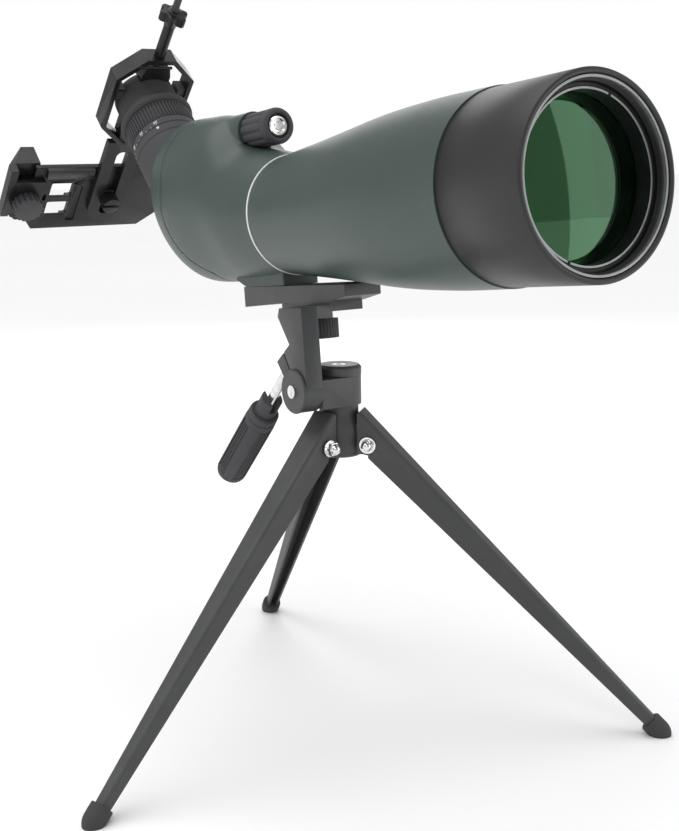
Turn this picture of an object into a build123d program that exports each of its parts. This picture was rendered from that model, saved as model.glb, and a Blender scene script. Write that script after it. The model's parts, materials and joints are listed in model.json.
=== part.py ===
from build123d import *

import math
import os

# Angled zoom spotting scope on a tabletop tripod, with a phone adapter clamped on its eyepiece.
# Millimetres, +Z up, +X is the way the scope looks. The legs stand on Z = 0 and the pan
# bearing's axis is the design's Z axis. At the end everything is shifted in X and Y only,
# so that the middle of the whole box is the origin.

os.makedirs("parts", exist_ok=True)

# ---------------------------------------------------------------- driving dimensions
FIT = 0.05                # radial clearance of a running or sliding fit
GAP = 0.3                 # air between faces of different moving bodies

PITCH = 5.34              # degrees that the scope looks up
AXIS_HEIGHT = 305.9       # optical axis above the floor, over the pan axis

# scope, stations along the optical axis from the pan axis (s) and heights off it (t)
RING_S = -41.0            # trim ring between housing and barrel
RING_R = 35.8
HOOD_S = 153.8            # green barrel ends, sunshade begins
HOOD_R = 47.5             # sunshade outside radius
FRONT_S = 211.6           # front rim
NECK_R = 44.5             # barrel neck that the sunshade slides on
BARREL_WALL = 2.3
LENS_R = 40.0             # half of the objective's diameter
HOUSING_WALL = 2.6
KNOB_T = 54.5             # focus knob's axis above the optical axis
KNOB_R = 11.0
SHADE_TRAVEL = 34.0

# eyepiece, stations along its own axis from the fold of the light path
FOLD_S = -156.9
EYE_ANGLE = 49.0          # between the eyepiece axis and the optical axis
COLLAR_END = 77.0
COLLAR_R = 24.6
ZOOM_END = 97.8
CUP_END = 131.0
CUP_R = 21.5

# phone adapter, same stations; x to the scope's right, y up the frame
FRAME_NEAR = 120.1
FRAME_DEPTH = 13.0
FRAME_HALF_W = 30.0
FRAME_HALF_H = 39.3
FRAME_WALL = 3.4
ARM_X = 5.0               # the slotted arm hangs a little to the right
ARM_R = 14.0
ARM_END_Y = -117.0
ARM_NEAR = 122.1
ARM_THICK = 5.0
SLOT_R = 4.6
SLOT_TOP_Y = -52.0
PLATE_BOLT_Y = -95.0      # where the phone plate is bolted in the slot
PLATE_NEAR = ARM_NEAR + ARM_THICK + GAP
PLATE_THICK = 4.0
PLATE_X = (-38.0, 66.0)   # its ends, before the movable jaw
PLATE_Y = (-130.0, -67.0)
JAW_REACH = 150.5         # how far both jaws stand out on the phone's side
JAW_IN = 14.0             # travel of the movable jaw

# tripod head
HUB_S, HUB_T = -8.1, -101.9
HUB_R = 13.0
ARM_OUT_Y = 31.2          # near face of the tilt arm, distance off the median plane
ARM_IN_Y = 20.3
PAD_T = -41.5             # top of the head plate
SEAT_T = -52.2            # top of the platform
PLATFORM_T = -57.5
PLATE_KNOB_S = -27.0
FOOT_S = (-90.0, -44.0)
FOOT_HALF_W = 12.5

# tripod
CAP_TOP = 216.6
PAN_R = 13.0
PAN_BOTTOM = 193.3
COLUMN_R = 11.2
COLUMN_BOTTOM = 162.5
LEG_AZIMUTHS = [43.4, 163.4, 283.4]
HINGE_RADIUS = 18.5
HINGE_Z = 170.0
STANCE_RADIUS = 192.3
HINGE_BOLT_R = 2.5


# ---------------------------------------------------------------- frames of reference
def heading(angle):
    """Unit vector in the XZ plane, angle in degrees above +X."""
    return Vector(math.cos(math.radians(angle)), 0, math.sin(math.radians(angle)))


# SIDE: x along the optical axis (s), y off it (t), looking from the scope's right
SIDE = Plane(origin=(0, 0, AXIS_HEIGHT), x_dir=heading(PITCH), z_dir=(0, -1, 0))
SCOPE_AXIS = Axis(SIDE.origin, SIDE.x_dir)


def at_side(s, t=0.0, right=0.0):
    """World point at station s, height t and distance to the scope's right."""
    return SIDE.from_local_coords(Vector(s, t, right))


def station(s, t=0.0):
    """Plane square to the optical axis; its x is to the left (+Y), its y is up."""
    return Plane(origin=at_side(s, t), x_dir=(0, 1, 0), z_dir=SIDE.x_dir)


def level(t, s=0.0, right=0.0):
    """Plane square to the t direction, facing up; x is along the optical axis."""
    return Plane(origin=at_side(s, t, right), x_dir=SIDE.x_dir, z_dir=SIDE.y_dir)


EYE_DIR = heading(180 + PITCH - EYE_ANGLE)
# EYE: z along the eyepiece axis, x to the scope's right, y up and forward
EYE = Plane(origin=at_side(FOLD_S), x_dir=(0, -1, 0), z_dir=EYE_DIR)
EYE_SIDE = Plane(origin=EYE.origin, x_dir=EYE_DIR, z_dir=(0, 1, 0))
EYE_AXIS = Axis(EYE.origin, EYE_DIR)


def outline(plane, *points):
    """Closed straight-sided face on a plane."""
    with BuildSketch(plane) as drawn:
        with BuildLine():
            Polyline(*points, close=True)
        make_face()
    return drawn.sketch


def ring_face(plane, start, end, inner, outer):
    """Rectangle from station start to end and radius inner to outer, to be revolved."""
    return outline(plane, (start, inner), (end, inner), (end, outer), (start, outer))


def half_sag(radius, sag):
    """Sag at half the radius of a spherical surface with this sag at its edge."""
    curve = (radius ** 2 + sag ** 2) / (2 * sag)
    return curve - math.sqrt(curve ** 2 - radius ** 2 / 4)


def lens_face(plane, front, rear, radius, front_sag, rear_sag):
    """Half section of a lens; front and rear are its vertices, a sag is positive if convex."""
    front_edge, rear_edge = front - front_sag, rear + rear_sag
    front_mid = front - math.copysign(half_sag(radius, abs(front_sag)), front_sag)
    with BuildSketch(plane) as drawn:
        with BuildLine():
            ThreePointArc((front, 0), (front_mid, radius / 2), (front_edge, radius))
            Line((front_edge, radius), (rear_edge, radius))
            if rear_sag:
                rear_mid = rear + math.copysign(half_sag(radius, abs(rear_sag)), rear_sag)
                ThreePointArc((rear_edge, radius), (rear_mid, radius / 2), (rear, 0))
            else:
                Line((rear_edge, radius), (rear, 0))
            Line((rear, 0), (front, 0))
        make_face()
    return drawn.sketch


finished = {}


def finish(piece, name):
    """Keep a finished piece under its node name."""
    finished[name] = piece


# ================================================================ tripod base
def leg_plane(azimuth):
    """Upright plane through the pan axis and a leg: x outwards, y up."""
    c, s = math.cos(math.radians(azimuth)), math.sin(math.radians(azimuth))
    return Plane(origin=(0, 0, 0), x_dir=(c, s, 0), z_dir=(s, -c, 0))


LEG_RUN = STANCE_RADIUS - HINGE_RADIUS
LEG_SLOPE = math.degrees(math.atan2(HINGE_Z, LEG_RUN))
LEG_TO_FLOOR = math.hypot(LEG_RUN, HINGE_Z)
LEG_TOP_A = -17.3         # the channel runs on above its hinge
LEG_END_A = LEG_TO_FLOOR - 8.0
LEG_WALL = 1.5
LEG_TOP_W = 17.0
LEG_END_W = 7.4
LUG_W = 12.4
LUG_R = 6.3
GUSSET_REACH = 15.0

with BuildPart() as tripod_spider:
    with BuildSketch(Plane.XY.offset(COLUMN_BOTTOM)):
        Circle(COLUMN_R)
    extrude(amount=PAN_BOTTOM - GAP - COLUMN_BOTTOM)
    for azimuth in LEG_AZIMUTHS:
        upright = leg_plane(azimuth)
        with BuildSketch(upright):
            with BuildLine():
                Polyline((0, HINGE_Z - LUG_R), (HINGE_RADIUS, HINGE_Z - LUG_R),
                         (HINGE_RADIUS, HINGE_Z + LUG_R), (COLUMN_R + 1, HINGE_Z + 12),
                         (0, HINGE_Z + 12), close=True)
            make_face()
            with Locations((HINGE_RADIUS, HINGE_Z)):
                Circle(LUG_R)
        extrude(amount=LUG_W / 2, both=True)
        gusset = leg_plane(azimuth + 60)
        with BuildSketch(gusset):
            with Locations((GUSSET_REACH / 2, (COLUMN_BOTTOM + 186) / 2)):
                Rectangle(GUSSET_REACH, 186 - COLUMN_BOTTOM)
        extrude(amount=5.5, both=True)
        with BuildSketch(upright):
            with Locations((HINGE_RADIUS, HINGE_Z)):
                Circle(HINGE_BOLT_R + FIT)
        extrude(amount=LUG_W, both=True, mode=Mode.SUBTRACT)
    with BuildSketch(Plane.XY.offset(COLUMN_BOTTOM)):
        Circle(3.0)
    extrude(amount=PAN_BOTTOM - COLUMN_BOTTOM, mode=Mode.SUBTRACT)
finish(tripod_spider, "tripod_spider")

with BuildPart() as pan_screw:
    with BuildSketch(Plane.XY.offset(COLUMN_BOTTOM + 4)):
        Circle(3.0 - FIT)
    extrude(amount=CAP_TOP - 2.5 - COLUMN_BOTTOM - 4)
    with BuildSketch(Plane.XY.offset(CAP_TOP - 2.5)):
        Circle(4.2)
    extrude(amount=2.3)
    with BuildSketch(Plane.XY.offset(CAP_TOP - 0.2)):
        RegularPolygon(2.0, 6)
    extrude(amount=-1.8, mode=Mode.SUBTRACT)
finish(pan_screw, "pan_screw")


def bolt_places():
    """The three hinge axes as planes, z along the bolt."""
    places = []
    for azimuth in LEG_AZIMUTHS:
        upright = leg_plane(azimuth)
        places.append(Plane(origin=upright.from_local_coords(Vector(HINGE_RADIUS, HINGE_Z, 0)),
                            x_dir=upright.x_dir, z_dir=-upright.z_dir))
    return places


FLANGE_OUT = LEG_TOP_W / 2
WASHER_T = 1.0
NUT_T = 3.4

with BuildPart() as leg_bolts:
    for place in bolt_places():
        with BuildSketch(place.offset(-FLANGE_OUT - GAP - WASHER_T)):
            Circle(HINGE_BOLT_R - FIT)
        extrude(amount=2 * (FLANGE_OUT + GAP + WASHER_T) + NUT_T)
        with BuildSketch(place.offset(-FLANGE_OUT - GAP - WASHER_T)) as head:
            Circle(3.9)
        extrude(amount=-2.6, taper=22)
finish(leg_bolts, "leg_bolts")

with BuildPart() as leg_washers:
    for place in bolt_places():
        for side in (-1, 1):
            with BuildSketch(place.offset(side * (FLANGE_OUT + GAP))):
                Circle(4.9)
                Circle(HINGE_BOLT_R, mode=Mode.SUBTRACT)
            extrude(amount=side * WASHER_T)
finish(leg_washers, "leg_washers")

with BuildPart() as leg_nuts:
    for place in bolt_places():
        with BuildSketch(place.offset(FLANGE_OUT + GAP + WASHER_T)):
            RegularPolygon(4.2, 6)
            Circle(HINGE_BOLT_R - FIT / 2, mode=Mode.SUBTRACT)
        extrude(amount=NUT_T)
        dome_base = place.offset(FLANGE_OUT + GAP + WASHER_T + NUT_T)
        dome_side = Plane(origin=dome_base.origin, x_dir=dome_base.x_dir, z_dir=dome_base.y_dir)
        with BuildSketch(dome_side):
            with BuildLine():
                Line((0, 0), (3.3, 0))
                CenterArc((0, 0), 3.3, 0, -90)
                Line((0, -3.3), (0, 0))
            make_face()
        revolve(axis=Axis(dome_base.origin, dome_base.z_dir))
finish(leg_nuts, "leg_nuts")


def leg_section(azimuth, along):
    """Plane square to a leg: x across it, y out of its back."""
    upright = leg_plane(azimuth)
    slope = math.radians(LEG_SLOPE)
    hinge = upright.from_local_coords(Vector(HINGE_RADIUS, HINGE_Z, 0))
    down = upright.x_dir * math.cos(slope) - Vector(0, 0, math.sin(slope))
    return Plane(origin=hinge + down * along, x_dir=-upright.z_dir, z_dir=down)


def channel_face(plane, width, back, lip):
    """U section: a back at y = back and two flanges reaching to y = lip."""
    half, inner = width / 2, width / 2 - LEG_WALL
    return outline(plane, (-half, lip), (-half, back), (half, back), (half, lip),
                   (inner, lip), (inner, back - LEG_WALL), (-inner, back - LEG_WALL),
                   (-inner, lip))


for number, azimuth in enumerate(LEG_AZIMUTHS, start=1):
    upright = leg_plane(azimuth)
    with BuildPart() as leg:
        top_face = channel_face(leg_section(azimuth, LEG_TOP_A), LEG_TOP_W, 11.0, -6.0)
        end_face = channel_face(leg_section(azimuth, LEG_END_A), LEG_END_W, 3.8, -2.8)
        loft([top_face.face(), end_face.face()])
        back_edges = leg.edges().filter_by(lambda e: e.length > 200).sort_by(
            Axis(leg_section(azimuth, 0).origin, leg_section(azimuth, 0).y_dir))[-2:]
        fillet(back_edges, 2.2)
        # the flanges stop short of the column and are round below the hinge
        with BuildSketch(upright):
            with BuildLine():
                Polyline((0, HINGE_Z), (12.2, HINGE_Z), (12.2, 200), (0, 200), close=True)
            make_face()
            with BuildLine():
                Polyline((0, 140), (HINGE_RADIUS, 140), (HINGE_RADIUS, HINGE_Z),
                         (0, HINGE_Z), close=True)
            make_face()
            with Locations((HINGE_RADIUS, HINGE_Z)):
                Circle(LUG_R, mode=Mode.SUBTRACT)
        extrude(amount=LEG_TOP_W, both=True, mode=Mode.SUBTRACT)
        with BuildSketch(upright):
            with Locations((HINGE_RADIUS, HINGE_Z)):
                Circle(HINGE_BOLT_R)
        extrude(amount=LEG_TOP_W, both=True, mode=Mode.SUBTRACT)
    finish(leg, f"leg_{number}")

    with BuildPart() as foot:
        with BuildSketch(leg_section(azimuth, LEG_TO_FLOOR - 19)):
            with Locations((0, 0.5)):
                Circle(6.5)
        extrude(amount=30)
        split(bisect_by=Plane.XY, keep=Keep.TOP)
        bottom = foot.faces().sort_by(Axis.Z)[0]
        fillet(bottom.edges(), 1.2)
        with BuildSketch(leg_section(azimuth, LEG_TO_FLOOR - 19.5)):
            with Locations((0, 0.5)):
                Rectangle(LEG_END_W + 0.9, 7.6)
        extrude(amount=12.5, mode=Mode.SUBTRACT)
    finish(foot, f"foot_{number}")

# ================================================================ pan head
HUB = at_side(HUB_S, HUB_T)
PIVOT_BOLT_R = 3.0

with BuildPart() as pan_housing:
    with BuildSketch(Plane.XY.offset(PAN_BOTTOM)):
        Circle(PAN_R)
        with Locations((HUB.X, -(ARM_IN_Y - GAP) / 2)):
            Rectangle(2 * PAN_R - 2.6, ARM_IN_Y - GAP)
    extrude(amount=17.0)
    with BuildSketch(Plane.XY.offset(PAN_BOTTOM)):
        Circle(3.0)
    extrude(amount=17.0, mode=Mode.SUBTRACT)
    with BuildSketch(Plane(origin=(HUB.X, -ARM_IN_Y + GAP, HUB.Z), z_dir=(0, -1, 0))):
        Circle(PIVOT_BOLT_R)
    extrude(amount=-11.0, mode=Mode.SUBTRACT)
finish(pan_housing, "pan_housing")

with BuildPart() as pan_cap:
    with BuildSketch(Plane.XY.offset(PAN_BOTTOM + 17.0)):
        Circle(PAN_R + 0.2)
    extrude(amount=CAP_TOP - PAN_BOTTOM - 17.0)
    chamfer(pan_cap.edges().group_by(Axis.Z)[-1], 1.6)
    with BuildSketch(Plane.XY.offset(PAN_BOTTOM + 17.0)):
        Circle(3.0)
    extrude(amount=10.0, mode=Mode.SUBTRACT)
    with BuildSketch(Plane.XY.offset(CAP_TOP - 2.6)):
        Circle(4.2 + FIT)
    extrude(amount=10.0, mode=Mode.SUBTRACT)
finish(pan_cap, "pan_cap")

HUB_FACE = Plane(origin=(HUB.X, -ARM_OUT_Y, HUB.Z), z_dir=(0, -1, 0))
DISC_T = 1.8

with BuildPart() as pivot_bolt:
    with BuildSketch(HUB_FACE.offset(DISC_T + 0.3)):
        Circle(PIVOT_BOLT_R - FIT)
    extrude(amount=-(DISC_T + ARM_OUT_Y - ARM_IN_Y + 9.0))
    with BuildSketch(HUB_FACE.offset(DISC_T + 0.05)):
        Circle(3.8)
    extrude(amount=1.2)
    with BuildSketch(HUB_FACE.offset(DISC_T + 1.25)):
        Rectangle(6.0, 1.0)
    extrude(amount=-0.8, mode=Mode.SUBTRACT)
finish(pivot_bolt, "pivot_bolt")

# ================================================================ tilt head
SLOT_TOP = (-20.5, -76.2)
SLOT_BOTTOM = (-12.9, -89.2)
HANDLE_CROSS = (-16.2, -84.6)          # where the handle's screw crosses the slot
HANDLE_ANGLE = 220.0                   # its direction from the optical axis
HANDLE_Y = (ARM_OUT_Y + ARM_IN_Y) / 2
HANDLE_ROD_R = 3.0

handle_dir = heading(PITCH + HANDLE_ANGLE)
handle_origin = at_side(*HANDLE_CROSS, HANDLE_Y)
HANDLE = Plane(origin=handle_origin, x_dir=(0, 1, 0), z_dir=handle_dir)
HANDLE_SIDE = Plane(origin=handle_origin, x_dir=handle_dir, z_dir=(0, -1, 0))

with BuildPart() as tilt_arm:
    with BuildSketch(SIDE.offset(ARM_IN_Y)):
        with BuildLine():
            Polyline((HUB_S + HUB_R - 0.4, HUB_T), (4.2, -54), (-20, -54), (-22, -59),
                     (-11.3, -75), (-26.5, -85.2), (-20.2, -93.6), (HUB_S - 8, HUB_T - 10),
                     (HUB_S, HUB_T), close=True)
        make_face()
        with Locations((HUB_S, HUB_T)):
            Circle(HUB_R - 0.3)
    extrude(amount=ARM_OUT_Y - ARM_IN_Y)
    # platform under the head plate, and the bridge from it to the arm
    with BuildSketch(SIDE):
        with BuildLine():
            Polyline((-50, SEAT_T), (4.2, SEAT_T), (4.2, PLATFORM_T), (-50, PLATFORM_T), close=True)
        make_face()
    extrude(amount=11.0, both=True)
    with BuildSketch(SIDE.offset(10.0)):
        with BuildLine():
            Polyline((-20, SEAT_T - 1.3), (4.2, SEAT_T - 1.3), (4.2, -61), (-20, -61), close=True)
        make_face()
    extrude(amount=ARM_IN_Y - 9.0)
    # clamp slot, handle screw hole, pivot bore, plate screw bore
    dx, dt = SLOT_BOTTOM[0] - SLOT_TOP[0], SLOT_BOTTOM[1] - SLOT_TOP[1]
    with BuildSketch(SIDE.offset(ARM_IN_Y - 1)):
        with Locations(Location(((SLOT_TOP[0] + SLOT_BOTTOM[0]) / 2,
                                 (SLOT_TOP[1] + SLOT_BOTTOM[1]) / 2, 0),
                                (0, 0, math.degrees(math.atan2(dt, dx))))):
            Rectangle(math.hypot(dx, dt), 1.2)
    extrude(amount=ARM_OUT_Y - ARM_IN_Y + 2, mode=Mode.SUBTRACT)
    with BuildSketch(HANDLE.offset(-6)):
        Circle(HANDLE_ROD_R)
    extrude(amount=30, mode=Mode.SUBTRACT)
    with BuildSketch(HUB_FACE):
        Circle(PIVOT_BOLT_R)
    extrude(amount=-20, mode=Mode.SUBTRACT)
    with BuildSketch(level(PLATFORM_T, PLATE_KNOB_S)):
        Circle(3.1)
    extrude(amount=10, mode=Mode.SUBTRACT)
finish(tilt_arm, "tilt_arm")

with BuildPart() as hub_disc:
    with BuildSketch(HUB_FACE.offset(0.05)):
        Circle(HUB_R)
        Circle(PIVOT_BOLT_R, mode=Mode.SUBTRACT)
    extrude(amount=DISC_T - 0.05)
    chamfer(hub_disc.edges().filter_by(GeomType.CIRCLE).group_by(Axis.Y)[0].sort_by(
        SortBy.RADIUS)[-1:], 0.5)
finish(hub_disc, "hub_disc")

PLATE_REAR, PLATE_FRONT = -93.5, 22.0
with BuildPart() as head_plate:
    with BuildSketch(SIDE):
        with BuildLine():
            Polyline((PLATE_REAR, PAD_T), (PLATE_FRONT, PAD_T - 1.0), (PLATE_FRONT, -49.0),
                     (4.2, SEAT_T), (-50, SEAT_T), (PLATE_REAR, -54.2), close=True)
        make_face()
    extrude(amount=FOOT_HALF_W, both=True)
    fillet(head_plate.edges().filter_by(Axis(at_side(0), SIDE.y_dir)), 1.0)
    # shallow tray for the rubber pad, and a pocket below for the foot's screw
    with BuildSketch(level(PAD_T - 1.9, (PLATE_REAR + PLATE_FRONT) / 2)):
        RectangleRounded(PLATE_FRONT - PLATE_REAR - 5, 2 * FOOT_HALF_W - 5, 3.0)
    extrude(amount=4, mode=Mode.SUBTRACT)
    with BuildSketch(level(-60, sum(FOOT_S) / 2)):
        Circle(8.0)
    extrude(amount=11.0, mode=Mode.SUBTRACT)
    with BuildSketch(level(-60, sum(FOOT_S) / 2)):
        Circle(3.3)
    extrude(amount=30.0, mode=Mode.SUBTRACT)
    with BuildSketch(level(-60, PLATE_KNOB_S)):
        Circle(3.1)
    extrude(amount=30.0, mode=Mode.SUBTRACT)
finish(head_plate, "head_plate")

with BuildPart() as plate_pad:
    with BuildSketch(level(PAD_T - 1.9, (PLATE_REAR + PLATE_FRONT) / 2)):
        RectangleRounded(PLATE_FRONT - PLATE_REAR - 5.4, 2 * FOOT_HALF_W - 5.4, 2.8)
        with Locations((sum(FOOT_S) / 2 - (PLATE_REAR + PLATE_FRONT) / 2, 0),
                       (PLATE_KNOB_S - (PLATE_REAR + PLATE_FRONT) / 2, 0)):
            Circle(5.6, mode=Mode.SUBTRACT)
    extrude(amount=1.85)
finish(plate_pad, "plate_pad")

with BuildPart() as foot_screw:
    with BuildSketch(level(-52.5, sum(FOOT_S) / 2)):
        Circle(7.0)
    extrude(amount=3.4)
    with BuildSketch(level(-49.2, sum(FOOT_S) / 2)):
        Circle(3.1)
    extrude(amount=10.4)
finish(foot_screw, "foot_screw")

KNOB_TOP_T, KNOB_BOTTOM_T = -62.6, -74.0
with BuildPart() as plate_knob:
    with BuildSketch(level(KNOB_BOTTOM_T, PLATE_KNOB_S)):
        Circle(11.6)
        with PolarLocations(11.7, 36):
            Circle(0.45, mode=Mode.SUBTRACT)
    extrude(amount=KNOB_TOP_T - KNOB_BOTTOM_T)
    with BuildSketch(level(KNOB_TOP_T, PLATE_KNOB_S)):
        Circle(4.6)
    extrude(amount=PLATFORM_T - GAP - KNOB_TOP_T)
    with BuildSketch(level(KNOB_BOTTOM_T + 3, PLATE_KNOB_S)):
        Circle(3.0)
    extrude(amount=30, mode=Mode.SUBTRACT)
finish(plate_knob, "plate_knob")

with BuildPart() as plate_knob_screw:
    with BuildSketch(level(KNOB_BOTTOM_T + 3, PLATE_KNOB_S)):
        Circle(3.0)
    extrude(amount=PAD_T - 2.2 - KNOB_BOTTOM_T - 3)
finish(plate_knob_screw, "plate_knob_screw")

# ---------------------------------------------------------------- pan handle
ROD_LENGTH = 58.0
COLLAR_A, GRIP_A, GRIP_END = 37.0, 50.0, 117.0
with BuildPart() as handle_rod:
    with BuildSketch(HANDLE.offset(-5)):
        Circle(HANDLE_ROD_R - FIT)
    extrude(amount=ROD_LENGTH + 5)
finish(handle_rod, "handle_rod")

with BuildPart() as handle_collar:
    with BuildSketch(HANDLE.offset(COLLAR_A)):
        Circle(6.6)
        Circle(HANDLE_ROD_R, mode=Mode.SUBTRACT)
    extrude(amount=GRIP_A + 3 - COLLAR_A)
    with BuildSketch(HANDLE.offset(COLLAR_A)):
        Rectangle(4.4, 20)
    extrude(amount=7, mode=Mode.SUBTRACT)
finish(handle_collar, "handle_collar")

with BuildPart() as handle_grip:
    with BuildSketch(HANDLE.offset(GRIP_A)):
        Circle(9.8)
        with PolarLocations(9.9, 12):
            Circle(0.9, mode=Mode.SUBTRACT)
    extrude(amount=GRIP_END - GRIP_A)
    fillet(handle_grip.faces().sort_by(Axis(HANDLE.origin, HANDLE.z_dir))[-1].edges(), 0.5)
    with BuildSketch(HANDLE.offset(GRIP_A)):
        Circle(6.7)
    extrude(amount=3.1, mode=Mode.SUBTRACT)
    with BuildSketch(HANDLE.offset(GRIP_A)):
        Circle(HANDLE_ROD_R)
    extrude(amount=ROD_LENGTH - GRIP_A + 1, mode=Mode.SUBTRACT)
finish(handle_grip, "handle_grip")

# ================================================================ scope barrel
BARREL_OUTLINE = [(RING_S + 0.7, RING_R - 0.1), (37, 42.9), (85, 47.2), (120, 48.3), (HOOD_S, 48.1)]
SPIGOT_R = 32.8

with BuildPart() as barrel_shell:
    with BuildSketch(SIDE):
        with BuildLine():
            Spline(*BARREL_OUTLINE)
            Polyline((HOOD_S, 48.1), (HOOD_S, NECK_R), (205.0, NECK_R), (205.0, NECK_R - 2.3),
                     (HOOD_S - 4, NECK_R - 2.3))
            Spline((HOOD_S - 4, NECK_R - 2.3), (85, 47.2 - BARREL_WALL - 1.4),
                   (37, 42.9 - BARREL_WALL), (RING_S + 0.7, SPIGOT_R - 2.4))
            Polyline((RING_S + 0.7, SPIGOT_R - 2.4), (RING_S - 9, SPIGOT_R - 2.4),
                     (RING_S - 9, SPIGOT_R), (RING_S + 0.7, SPIGOT_R), BARREL_OUTLINE[0])
        make_face()
    revolve(axis=SCOPE_AXIS)
finish(barrel_shell, "barrel_shell")

with BuildPart() as trim_ring:
    revolve(ring_face(SIDE, RING_S - 0.65, RING_S + 0.65, SPIGOT_R + 0.05, RING_R + 0.25),
            axis=SCOPE_AXIS)
finish(trim_ring, "trim_ring")

with BuildPart() as sunshade:
    shade_in = NECK_R + FIT + 0.03
    with BuildSketch(SIDE):
        with BuildLine():
            Polyline((HOOD_S + GAP, shade_in), (FRONT_S - 1.2, shade_in), (FRONT_S, shade_in + 1.0),
                     (FRONT_S, HOOD_R - 0.8), (FRONT_S - 0.8, HOOD_R), (HOOD_S + GAP, HOOD_R),
                     close=True)
        make_face()
    revolve(axis=SCOPE_AXIS)
finish(sunshade, "sunshade")

CELL_R = NECK_R - 2.35
with BuildPart() as objective_cell:
    with BuildSketch(SIDE):
        with BuildLine():
            Polyline((176, LENS_R + 0.1), (176, CELL_R), (205.05, CELL_R), (205.05, NECK_R - 0.1),
                     (208.6, NECK_R - 0.1), (208.6, 42.6), (206.0, LENS_R + 0.1),
                     (185.0, LENS_R + 0.1), (185.0, 37.6), (183.4, 37.6), (183.4, LENS_R + 0.1),
                     close=True)
        make_face()
    revolve(axis=SCOPE_AXIS)
finish(objective_cell, "objective_cell")

with BuildPart() as crown_lens:
    revolve(lens_face(SIDE, 198.4, 189.4, LENS_R, 3.2, 2.2), axis=SCOPE_AXIS)
finish(crown_lens, "crown_lens")

with BuildPart() as flint_lens:
    revolve(lens_face(SIDE, 189.1, 185.3, LENS_R, -2.2, 0), axis=SCOPE_AXIS)
finish(flint_lens, "flint_lens")

with BuildPart() as lens_retainer:
    with BuildSketch(SIDE):
        with BuildLine():
            Polyline((195.55, 38.6), (195.55, LENS_R), (204.6, LENS_R), (204.6, 39.0), (200.0, 38.6),
                     close=True)
        make_face()
    revolve(axis=SCOPE_AXIS)
    with BuildSketch(station(200.5)):
        with PolarLocations(38.4, 2, start_angle=20):
            Rectangle(3.0, 3.2)
    extrude(amount=6, mode=Mode.SUBTRACT)
finish(lens_retainer, "lens_retainer")

BAFFLES = [(140.0, 41.8, 33.0), (95.0, 42.8, 28.0), (40.0, 39.9, 23.0), (-10.0, 34.0, 19.0)]
with BuildPart() as baffles:
    for s, outer, inner in BAFFLES:
        revolve(ring_face(SIDE, s, s + 1.2, inner, outer), axis=SCOPE_AXIS)
finish(baffles, "baffles")

# ================================================================ prism housing
# cross sections of the housing: station, lowest t, highest t, half width
SECTIONS = [(RING_S - 0.7, -35.8, 35.8, 35.8), (-50, -36.6, 38.0, 36.0), (-60, -37.3, 40.4, 36.4),
            (-72, -37.8, 42.6, 36.7), (-82, -38.1, 46.4, 36.9), (-92, -38.3, 55.0, 37.0),
            (-104, -38.4, 64.4, 37.0), (-128, -38.2, 69.0, 37.0), (-150, -36.0, 70.2, 36.2),
            (-168, -28.0, 69.5, 33.6), (-183, -15.0, 64.5, 28.4), (-194, 0.5, 56.0, 20.5),
            (-200.5, 15.0, 46.5, 11.5)]
TAIL = (-203.2, 31.0)


def housing_form(inset):
    """Smooth bulb through the elliptical sections, each smaller by the inset."""
    squeeze = 1 - inset / (SECTIONS[0][0] - TAIL[0])
    faces = []
    for s, low, high, half in SECTIONS:
        pulled = SECTIONS[0][0] + (s - SECTIONS[0][0]) * squeeze
        with BuildSketch(station(pulled, (low + high) / 2)) as section:
            Ellipse(half - inset, (high - low) / 2 - inset)
        faces.append(section.sketch.face())
    pulled = SECTIONS[0][0] + (TAIL[0] - SECTIONS[0][0]) * squeeze
    with BuildPart() as form:
        loft([*faces, Vertex(*at_side(pulled, TAIL[1]))])
    return form.part


outer_form = housing_form(0)
inner_form = housing_form(HOUSING_WALL)
BOSS_R = 12.2
BOSS_FRONT = -86.0
EYE_HOLE_R = 19.2

# the hollow keeps clear of the scoop that the focus knob turns in
with BuildPart() as cavity:
    add(inner_form)
    with BuildSketch(station(BOSS_FRONT - 2.5, KNOB_T)):
        Circle(BOSS_R + 2.3)
    extrude(amount=60, mode=Mode.SUBTRACT)

with BuildPart() as housing_shell:
    add(outer_form)
    with BuildSketch(station(-125, KNOB_T)):
        Circle(BOSS_R)
    extrude(amount=BOSS_FRONT + 125)
    with BuildSketch(station(BOSS_FRONT, KNOB_T)):
        Circle(BOSS_R)
    extrude(amount=60, mode=Mode.SUBTRACT)
    add(cavity.part, mode=Mode.SUBTRACT)
    # mouth for the barrel's spigot, bore for the focus shaft, hole for the eyepiece tube
    with BuildSketch(station(-62)):
        Circle(SPIGOT_R + 0.05)
    extrude(amount=30, mode=Mode.SUBTRACT)
    with BuildSketch(station(-126, KNOB_T)):
        Circle(4.0 + FIT)
    extrude(amount=60, mode=Mode.SUBTRACT)
    with BuildSketch(EYE.offset(30)):
        Circle(EYE_HOLE_R)
    extrude(amount=60, mode=Mode.SUBTRACT)

# the rear cover is the part of the shell behind a seam that follows the back,
# except for the round land that the eyepiece stands on
with BuildPart() as behind_seam:
    with BuildSketch(SIDE):
        with BuildLine():
            Line((-154.5, 90), (-154.5, 20))
            ThreePointArc((-154.5, 20), (-146.5, -10.5), (-121, -31.5))
            Polyline((-121, -31.5), (-112, -60), (-230, -60), (-230, 90), (-154.5, 90))
        make_face()
    extrude(amount=60, both=True)
    with BuildSketch(EYE.offset(10)):
        Circle(COLLAR_R + 1.0)
    extrude(amount=80, mode=Mode.SUBTRACT)

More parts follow.
